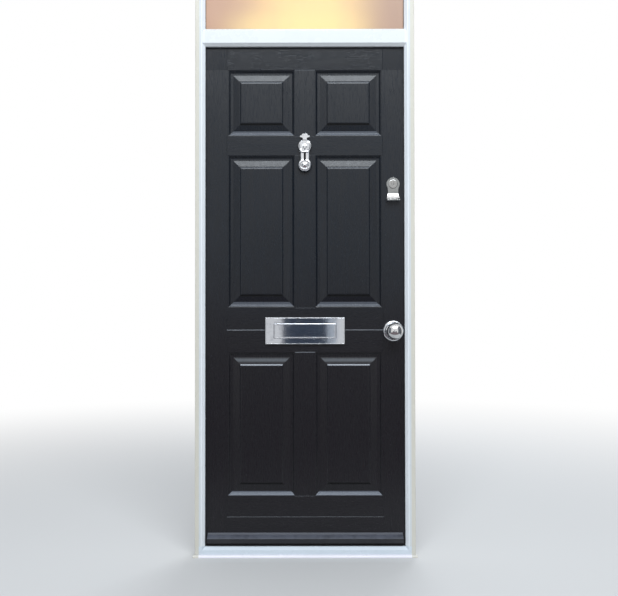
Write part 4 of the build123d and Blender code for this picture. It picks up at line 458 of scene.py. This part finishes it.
def chrome(name, colour, tone, roughness, smears=0.03, depth=0.00006, polished_below=None):
    """Plated metal with handling smears and a faintly uneven face; a grip may be polished by hands."""
    material, tree, shader = new_material(name, Metallic=1.0)
    smear = use_group(tree, PATCHES, Size=smears, Cover=0.45)[0]
    edge = use_group(tree, WEAR, Width=0.0008, Amount=0.25)
    base = mix_colour(tree, smear, colour, tone)
    base = mix_colour(tree, edge[0], base, (0.66, 0.66, 0.66))
    gloss = spread(tree, smear, 0.0, 1.0, roughness[0], roughness[1])
    if polished_below:
        grip = spread(tree, position(tree)[2], polished_below + 0.001, polished_below)
        base = mix_colour(tree, grip, base, (0.9, 0.9, 0.9))
        gloss = mix_value(tree, grip, gloss, 0.12)
    finish(tree, shader, base, gloss, noise(tree, place(tree), 60.0, 3.0), depth, 0.4, normal=edge[1])
    return material


def satin_metal(name, colour, roughness, plated=None):
    """Drawn metal; where it is plated, the outer face takes the plating's colour."""
    material, tree, shader = new_material(name, Metallic=1.0)
    line = use_group(tree, BRUSHED, Fineness=1.0)[0]
    edge = use_group(tree, WEAR, Width=0.001, Amount=0.5)
    base = mix_colour(tree, edge[0], colour, tuple(min(1.0, share * 1.3) for share in colour))
    if plated:
        base = mix_colour(tree, spread(tree, position(tree)[1], -0.010, -0.012), base, plated)
    finish(tree, shader, base, spread(tree, line, 0.3, 0.7, roughness - 0.06, roughness + 0.08), line, 0.00002,
           normal=edge[1])
    return material


def timber():
    """Planed softwood with its grain upright."""
    material, tree, shader = new_material("timber")
    grain = use_group(tree, GRAIN, Fineness=1.4, Sideways=0.0)
    edge = use_group(tree, WEAR, Width=0.001, Amount=0.3)
    base = mix_colour(tree, grain[1], (0.38, 0.24, 0.12), (0.56, 0.40, 0.23))
    base = mix_colour(tree, edge[0], base, (0.62, 0.47, 0.30))
    finish(tree, shader, base, spread(tree, grain[1], 0.0, 1.0, 0.5, 0.7), grain[0], 0.0002, 0.5, normal=edge[1])
    return material


MATERIALS = {
    "frame_white": frame_white(),
    "leaf_black": leaf_black(),
    "obscure_glass": obscure_glass(),
    "bright_chrome": chrome("bright_chrome", (0.53, 0.55, 0.59), (0.46, 0.48, 0.52), (0.05, 0.13)),
    "seal": dressed("seal", (0.012, 0.012, 0.013), (0.022, 0.022, 0.024), (0.55, 0.7), wear=0.2),
    "spacer": satin_metal("spacer", (0.5, 0.51, 0.53), 0.35),
    "packer": dressed("packer", (0.18, 0.28, 0.48), (0.22, 0.32, 0.5), (0.4, 0.5)),
    "foam": dressed("foam", (0.82, 0.74, 0.46), (0.7, 0.6, 0.35), (0.8, 0.95), fine=900.0, depth=0.0004),
    "timber": timber(),
    "hinge_steel": satin_metal("hinge_steel", (0.50, 0.50, 0.52), 0.32),
    "weatherbar_black": dressed(
        "weatherbar_black", (0.011, 0.012, 0.017), (0.019, 0.020, 0.025), (0.3, 0.42), wear=0.5,
        worn=(0.12, 0.13, 0.15), dust_and_sky_light=0.85, dust_and_sky_light_colour=(0.085, 0.095, 0.125), lip_highlight=0.084
    ),
    "cap_black": dressed("cap_black", (0.014, 0.014, 0.016), (0.022, 0.022, 0.024), (0.45, 0.6)),
    "bolt_steel": satin_metal("bolt_steel", (0.46, 0.46, 0.48), 0.3),
    "cylinder_brass": satin_metal("cylinder_brass", (0.62, 0.46, 0.22), 0.25, plated=(0.36, 0.36, 0.355)),
    "latch_satin": dressed(
        "latch_satin", (0.42, 0.42, 0.43), (0.48, 0.48, 0.49), (0.3, 0.42), metallic=0.6, wear=0.4,
        worn=(0.62, 0.62, 0.62)
    ),
}
WORN_CHROME = chrome("worn_chrome", (0.31, 0.32, 0.32), (0.19, 0.20, 0.20), (0.22, 0.36), smears=0.012, depth=0.00012,
                     polished_below=PULL_LOW.z + 0.029)
CAST_CHROME = chrome("cast_chrome", (0.74, 0.76, 0.79), (0.58, 0.60, 0.63), (0.05, 0.12), smears=0.02, depth=0.00012)
KNOB_CHROME = chrome("knob_chrome", (0.66, 0.665, 0.67), (0.58, 0.585, 0.59), (0.10, 0.18))
NODE_FINISHES = {"cylinder_pull": WORN_CHROME, "knocker_arm": CAST_CHROME, "knocker_rose": CAST_CHROME,
                 "knob_rose": CAST_CHROME, "door_knob": KNOB_CHROME}
SLOTS = {row["node"]: row["material_slot"] for row in frame["record"]["subparts"]}
for name, node in frame["nodes"].items():
    node.data.materials.clear()
    node.data.materials.append(NODE_FINISHES.get(name) or MATERIALS[SLOTS[name]])


# Pieces

def add_piece(name, made, body, slot, finish=None):
    """Turn a bmesh into a piece that rides on this body, with its slot's finish or a closer one."""
    bmesh.ops.recalc_face_normals(made, faces=made.faces[:])
    mesh = bpy.data.meshes.new(name)
    made.to_mesh(mesh)
    made.free()
    piece = bpy.data.objects.new(name, mesh)
    bpy.context.scene.collection.objects.link(piece)
    mesh.materials.append(finish or MATERIALS[slot])
    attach(piece, body)
    return piece


def screw_head(made, centre, radius, proud, turn):
    """A countersunk screw's head with a cross recess, facing the room, its face this far off the plate."""
    grid = bmesh.ops.create_grid(made, x_segments=3, y_segments=3, size=radius * 0.62)["verts"]
    for vert in grid:
        vert.co.x *= 0.5 if abs(vert.co.x) < radius * 0.5 else 1.0
        vert.co.y *= 0.5 if abs(vert.co.y) < radius * 0.5 else 1.0
    cells = {face for vert in grid for face in vert.link_faces}
    corners = []
    for face in cells:
        middle = face.calc_center_median()
        if min(abs(middle.x), abs(middle.y)) > radius * 0.05:
            corners.append(face)
    bmesh.ops.delete(made, geom=corners, context="FACES")
    low = [vert for vert in grid if vert.is_valid]
    outline = list({edge for vert in low for edge in vert.link_edges if edge.is_boundary})
    walls = bmesh.ops.extrude_edge_only(made, edges=outline)["geom"]
    top = [item for item in walls if isinstance(item, bmesh.types.BMVert)]
    top_edges = [item for item in walls if isinstance(item, bmesh.types.BMEdge) and set(item.verts) <= set(top)]
    bmesh.ops.translate(made, vec=(0, 0, -radius * 0.22), verts=low)
    bmesh.ops.scale(made, vec=(0.85, 0.85, 1), verts=low)
    rim = bmesh.ops.create_circle(made, segments=24, radius=radius)["verts"]
    rim_edges = list({edge for vert in rim for edge in vert.link_edges})
    bmesh.ops.triangle_fill(made, edges=top_edges + rim_edges, use_beauty=True, normal=(0, 0, 1))
    skirt = bmesh.ops.extrude_edge_only(made, edges=rim_edges)["geom"]
    foot = [item for item in skirt if isinstance(item, bmesh.types.BMVert)]
    foot_edges = [item for item in skirt if isinstance(item, bmesh.types.BMEdge) and set(item.verts) <= set(foot)]
    bmesh.ops.translate(made, vec=(0, 0, -radius * 0.4), verts=foot)
    bmesh.ops.holes_fill(made, edges=foot_edges, sides=0)
    spin = Matrix.Rotation(math.radians(turn), 4, "Z")
    stand = Matrix.Rotation(math.radians(-90), 4, "X")
    shift = Matrix.Translation(Vector(centre) + Vector((0, proud, 0)))
    bmesh.ops.transform(made, matrix=shift @ stand @ spin, verts=low + top + rim + foot)


def screws(name, body, slot, places, radius, proud):
    made = bmesh.new()
    for number, centre in enumerate(places):
        screw_head(made, centre, radius, proud, 17 + 31 * number)
    return add_piece(name, made, body, slot)


def moulded_ring(name, body, low, high, section, finish=None):
    """A mitred ring round an upright rectangle, from its section: how far in from the edge, and the depth."""
    made = bmesh.new()
    middle, half_x, half_z = (low + high) / 2, (high.x - low.x) / 2, (high.z - low.z) / 2
    rings = []
    for inward, depth in section:
        corners = bmesh.ops.create_circle(made, segments=4, radius=math.sqrt(2))["verts"]
        bmesh.ops.rotate(made, verts=corners, cent=(0, 0, 0), matrix=Matrix.Rotation(math.radians(45), 3, "Z"))
        bmesh.ops.rotate(made, verts=corners, cent=(0, 0, 0), matrix=Matrix.Rotation(math.radians(90), 3, "X"))
        bmesh.ops.scale(made, verts=corners, vec=(half_x - inward, 1, half_z - inward))
        bmesh.ops.translate(made, verts=corners, vec=(middle.x, depth, middle.z))
        rings.append(list({edge for vert in corners for edge in vert.link_edges}))
    for first, second in zip(rings, rings[1:] + rings[:1]):
        bmesh.ops.bridge_loops(made, edges=first + second)
    return add_piece(name, made, body, "bright_chrome", finish)


def rounded_bar(name, body, low, high, round_by):
    """A cast bar with rounded edges and ends."""
    made = bmesh.new()
    bmesh.ops.create_cube(made, size=1.0)
    bmesh.ops.scale(made, vec=high - low, verts=made.verts)
    bmesh.ops.translate(made, vec=(low + high) / 2, verts=made.verts)
    bmesh.ops.bevel(made, geom=made.edges[:], offset=round_by, offset_type="OFFSET", segments=3, profile=0.5,
                    affect="EDGES", material=-1)
    return add_piece(name, made, body, "bright_chrome", CAST_CHROME)


def knocker_flutes(centre, rings):
    """Raised flutes round both cheeks of the rose; each ring has a radius, depth, thickness and half angle."""
    made = bmesh.new()
    for side in (-1, 1):
        for radius, depth, thick, reach in rings:
            before = set(made.verts)
            loop = bmesh.ops.create_circle(made, segments=10, radius=thick)["verts"]
            bmesh.ops.translate(made, verts=loop, vec=(side * radius, 0, 0))
            bmesh.ops.rotate(made, verts=loop, cent=(0, 0, 0), matrix=Matrix.Rotation(math.radians(reach), 3, "Y"))
            edges = list({edge for vert in loop for edge in vert.link_edges})
            bmesh.ops.spin(made, geom=loop + edges, cent=(0, 0, 0), axis=(0, 1, 0), dvec=(0, 0, 0),
                           angle=math.radians(-2 * reach), steps=22, use_merge=False, use_duplicate=False)
            new = [vert for vert in made.verts if vert not in before]
            ends = [edge for edge in made.edges if edge.is_boundary]
            bmesh.ops.holes_fill(made, edges=ends, sides=0)
            bmesh.ops.translate(made, verts=new, vec=(0, depth, centre))
    return add_piece("knocker_flutes", made, "leaf", "bright_chrome", CAST_CHROME)


def knocker_boss(low, high):
    """A tapering boss on the knocker's neck, full at the top."""
    made = bmesh.new()
    bmesh.ops.create_uvsphere(made, u_segments=20, v_segments=12, radius=1.0)
    for vert in made.verts:
        vert.co.x *= 1.0 + 0.62 * min(vert.co.z, 0.25)
    bmesh.ops.scale(made, vec=(high - low) / 2, verts=made.verts)
    bmesh.ops.translate(made, vec=(high + low) / 2, verts=made.verts)
    return add_piece("knocker_boss", made, "knocker", "bright_chrome", CAST_CHROME)


moulded_ring("letter_plate_rim", "leaf", PLATE_LOW, PLATE_HIGH, [
    (0.0002, -0.0165), (0.0002, -0.0192), (0.0008, -0.0207), (0.0019, -0.0213), (0.0031, -0.0212), (0.0037, -0.0203)
], CAST_CHROME)
moulded_ring("letter_flap_edge", "outer_flap", FLAP_LOW, FLAP_HIGH - Vector((0, 0, 0.0016)), [
    (0.0003, -0.0180), (0.0003, -0.0196), (0.0016, -0.0203), (0.0034, -0.0203), (0.0052, -0.0198), (0.0052, -0.0180)
])
rounded_bar("letter_flap_lip", "outer_flap", Vector((-0.1200, -0.0222, FLAP_LOW.z + 0.0006)),
            Vector((0.1200, -0.0185, FLAP_LOW.z + 0.0052)), 0.0016)
knocker_flutes(KNOCKER_PIVOT_Z, ((0.0242, -0.0238, 0.0014, 62), (0.0200, -0.0266, 0.0013, 58)))
knocker_boss(Vector((-0.0070, -0.0372, 1.6235)), Vector((0.0070, -0.0320, 1.6475)))
rounded_bar("knocker_bar", "knocker", Vector((-0.0145, -0.0365, 1.6125)), Vector((0.0145, -0.0325, 1.6180)), 0.0016)

FRAME_PLATE_Y = FRAME_HIGH.y + HINGE_PLATE
LEAF_PLATE_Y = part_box("leaf_inner_skin")[1].y + HINGE_PLATE
for number, height in enumerate(HINGE_HEIGHTS, 1):
    frame_places = [(FRAME_SCREW_X, FRAME_PLATE_Y, height + rise) for rise in (-HINGE_SCREW_RISE, HINGE_SCREW_RISE)]
    door_places = [(x, LEAF_PLATE_Y, height + rise) for x, rise in DOOR_SCREWS]
    screws(f"hinge_{number}_frame_screws", "frame", "bolt_steel", frame_places, *HINGE_SCREW)
    screws(f"hinge_{number}_door_screws", "leaf", "bolt_steel", door_places, *HINGE_SCREW)
STAPLE_X = STAPLE_SCREW_SHIFT + (STAPLE_LOW.x + STAPLE_HIGH.x) / 2
staple_levels = (STAPLE_LOW.z + STAPLE_SCREW_INSET, STAPLE_HIGH.z - STAPLE_SCREW_INSET)
screws("latch_staple_screws", "frame", "bolt_steel", [(STAPLE_X, STAPLE_HIGH.y, level) for level in staple_levels],
       *STAPLE_SCREW)


# Floor, light and camera

def make_floor():
    """A pale floor that runs out to plain white."""
    made = bmesh.new()
    bmesh.ops.create_grid(made, x_segments=1, y_segments=1, size=40.0)
    mesh = bpy.data.meshes.new("studio_floor")
    made.to_mesh(mesh)
    made.free()
    floor = bpy.data.objects.new("studio_floor", mesh)
    bpy.context.scene.collection.objects.link(floor)
    material, tree, shader = new_material("studio_floor", Base_Color=(0.62, 0.62, 0.62, 1), Roughness=0.9)
    coords = tree.nodes.new("ShaderNodeTexCoord")
    reach = add_node(tree, "ShaderNodeVectorMath", {"operation": "LENGTH"}, Vector=coords.outputs["Object"])
    far = spread(tree, reach.outputs["Value"], 1.2, 5.5)
    share = maths(tree, "MULTIPLY", far, background_rays(tree))
    white = add_node(tree, "ShaderNodeEmission", None, Color=(1, 1, 1, 1), Strength=1.0)
    mix = tree.nodes.new("ShaderNodeMixShader")
    tree.links.new(share, mix.inputs[0])
    tree.links.new(shader.outputs[0], mix.inputs[1])
    tree.links.new(white.outputs[0], mix.inputs[2])
    tree.links.new(mix.outputs[0], tree.nodes["Material Output"].inputs["Surface"])
    mesh.materials.append(material)


def background_rays(tree):
    """1 for the rays that see the background: the camera's, and those through glass or off metal."""
    path = tree.nodes.new("ShaderNodeLightPath")
    seen = maths(tree, "MAXIMUM", path.outputs["Is Camera Ray"], path.outputs["Is Glossy Ray"])
    return maths(tree, "MAXIMUM", seen, path.outputs["Is Transmission Ray"])


def make_world():
    """Soft sky that is brighter overhead, behind a plain white background."""
    world = bpy.data.worlds.new("studio")
    bpy.context.scene.world = world
    world.use_nodes = True
    tree = world.node_tree
    tree.nodes.clear()
    rise = spread(tree, parts_of(tree, "ShaderNodeTexCoord", "Generated")[2], -0.1, 0.9, 0.38, 0.52)
    sky = add_node(tree, "ShaderNodeBackground", None, Color=(0.93, 0.96, 1.0, 1), Strength=rise)
    white = add_node(tree, "ShaderNodeBackground", None, Color=(1, 1, 1, 1), Strength=1.0)
    mix = tree.nodes.new("ShaderNodeMixShader")
    tree.links.new(background_rays(tree), mix.inputs[0])
    tree.links.new(sky.outputs[0], mix.inputs[1])
    tree.links.new(white.outputs[0], mix.inputs[2])
    out = tree.nodes.new("ShaderNodeOutputWorld")
    tree.links.new(mix.outputs[0], out.inputs["Surface"])


def make_lamp(name, place_at, look_at, size, power):
    light = bpy.data.lights.new(name, "AREA")
    light.shape = "RECTANGLE"
    light.size, light.size_y = size
    light.energy = power
    light.color = (0.90, 0.955, 1.0)
    lamp = bpy.data.objects.new(name, light)
    bpy.context.scene.collection.objects.link(lamp)
    lamp.location = place_at
    lamp.rotation_euler = (Vector(look_at) - Vector(place_at)).to_track_quat("-Z", "Y").to_euler()
    lamp.visible_camera = False


def make_card(name, size, centre, turn, colour, tilt=90):
    """A studio card, seen only as a reflection."""
    made = bmesh.new()
    bmesh.ops.create_grid(made, x_segments=1, y_segments=1, size=0.5)
    bmesh.ops.scale(made, vec=(*size, 1), verts=made.verts)
    stand = Matrix.Rotation(math.radians(turn), 4, "Z") @ Matrix.Rotation(math.radians(tilt), 4, "X")
    bmesh.ops.transform(made, matrix=Matrix.Translation(centre) @ stand, verts=made.verts)
    mesh = bpy.data.meshes.new(name)
    made.to_mesh(mesh)
    made.free()
    card = bpy.data.objects.new(name, mesh)
    bpy.context.scene.collection.objects.link(card)
    mesh.materials.append(new_material(name, Base_Color=(*colour, 1), Roughness=0.9)[0])
    for rays in ("camera", "diffuse", "transmission", "volume_scatter", "shadow"):
        setattr(card, "visible_" + rays, False)


def make_camera():
    data = bpy.data.cameras.new("camera")
    data.lens = 43.59
    data.sensor_width = 36.0
    camera = bpy.data.objects.new("camera", data)
    bpy.context.scene.collection.objects.link(camera)
    turn = (
        Matrix.Rotation(math.radians(0.0634), 4, "Z")
        @ Matrix.Rotation(math.radians(90.8687), 4, "X")
        @ Matrix.Rotation(math.radians(-0.0743), 4, "Z")
    )
    camera.matrix_world = Matrix.Translation((0.01938, -3.02109, 0.98387)) @ turn
    bpy.context.scene.camera = camera


make_floor()
make_world()
make_card("front_card", (0.49, 2.1), (-0.035, -5.2, 1.1), 0, (0.075, 0.095, 0.135))
make_card("grey_card", (0.10, 2.1), (0.26, -5.2, 1.1), 0, (0.80, 0.84, 0.90))
make_card("path_card", (4.4, 4.4), (0, -3.3, 0.004), 0, (0.17, 0.13, 0.135), tilt=0)
make_card("low_card_left", (1.7, 0.92), (-1.4, -5.5, 0.46), 0, (0.10, 0.11, 0.13))
make_card("low_card_right", (1.7, 0.92), (1.4, -5.5, 0.46), 0, (0.10, 0.11, 0.13))
make_card("left_card", (2.2, 2.8), (-2.0, -1.3, 1.4), 90, (0.20, 0.21, 0.23))
make_card("right_card", (2.2, 2.8), (2.0, -1.3, 1.4), 90, (0.20, 0.21, 0.23))
make_lamp("sky_front", (0.4, -4.3, 5.37), (0, 0, 1.3), (4.7, 2.16), 318.0)
make_lamp("sky_back", (1.2, 4.2, 3.6), (0, 0, 1.2), (3.0, 3.0), 110.0)
make_camera()
bpy.context.scene.view_settings.view_transform = "Standard"
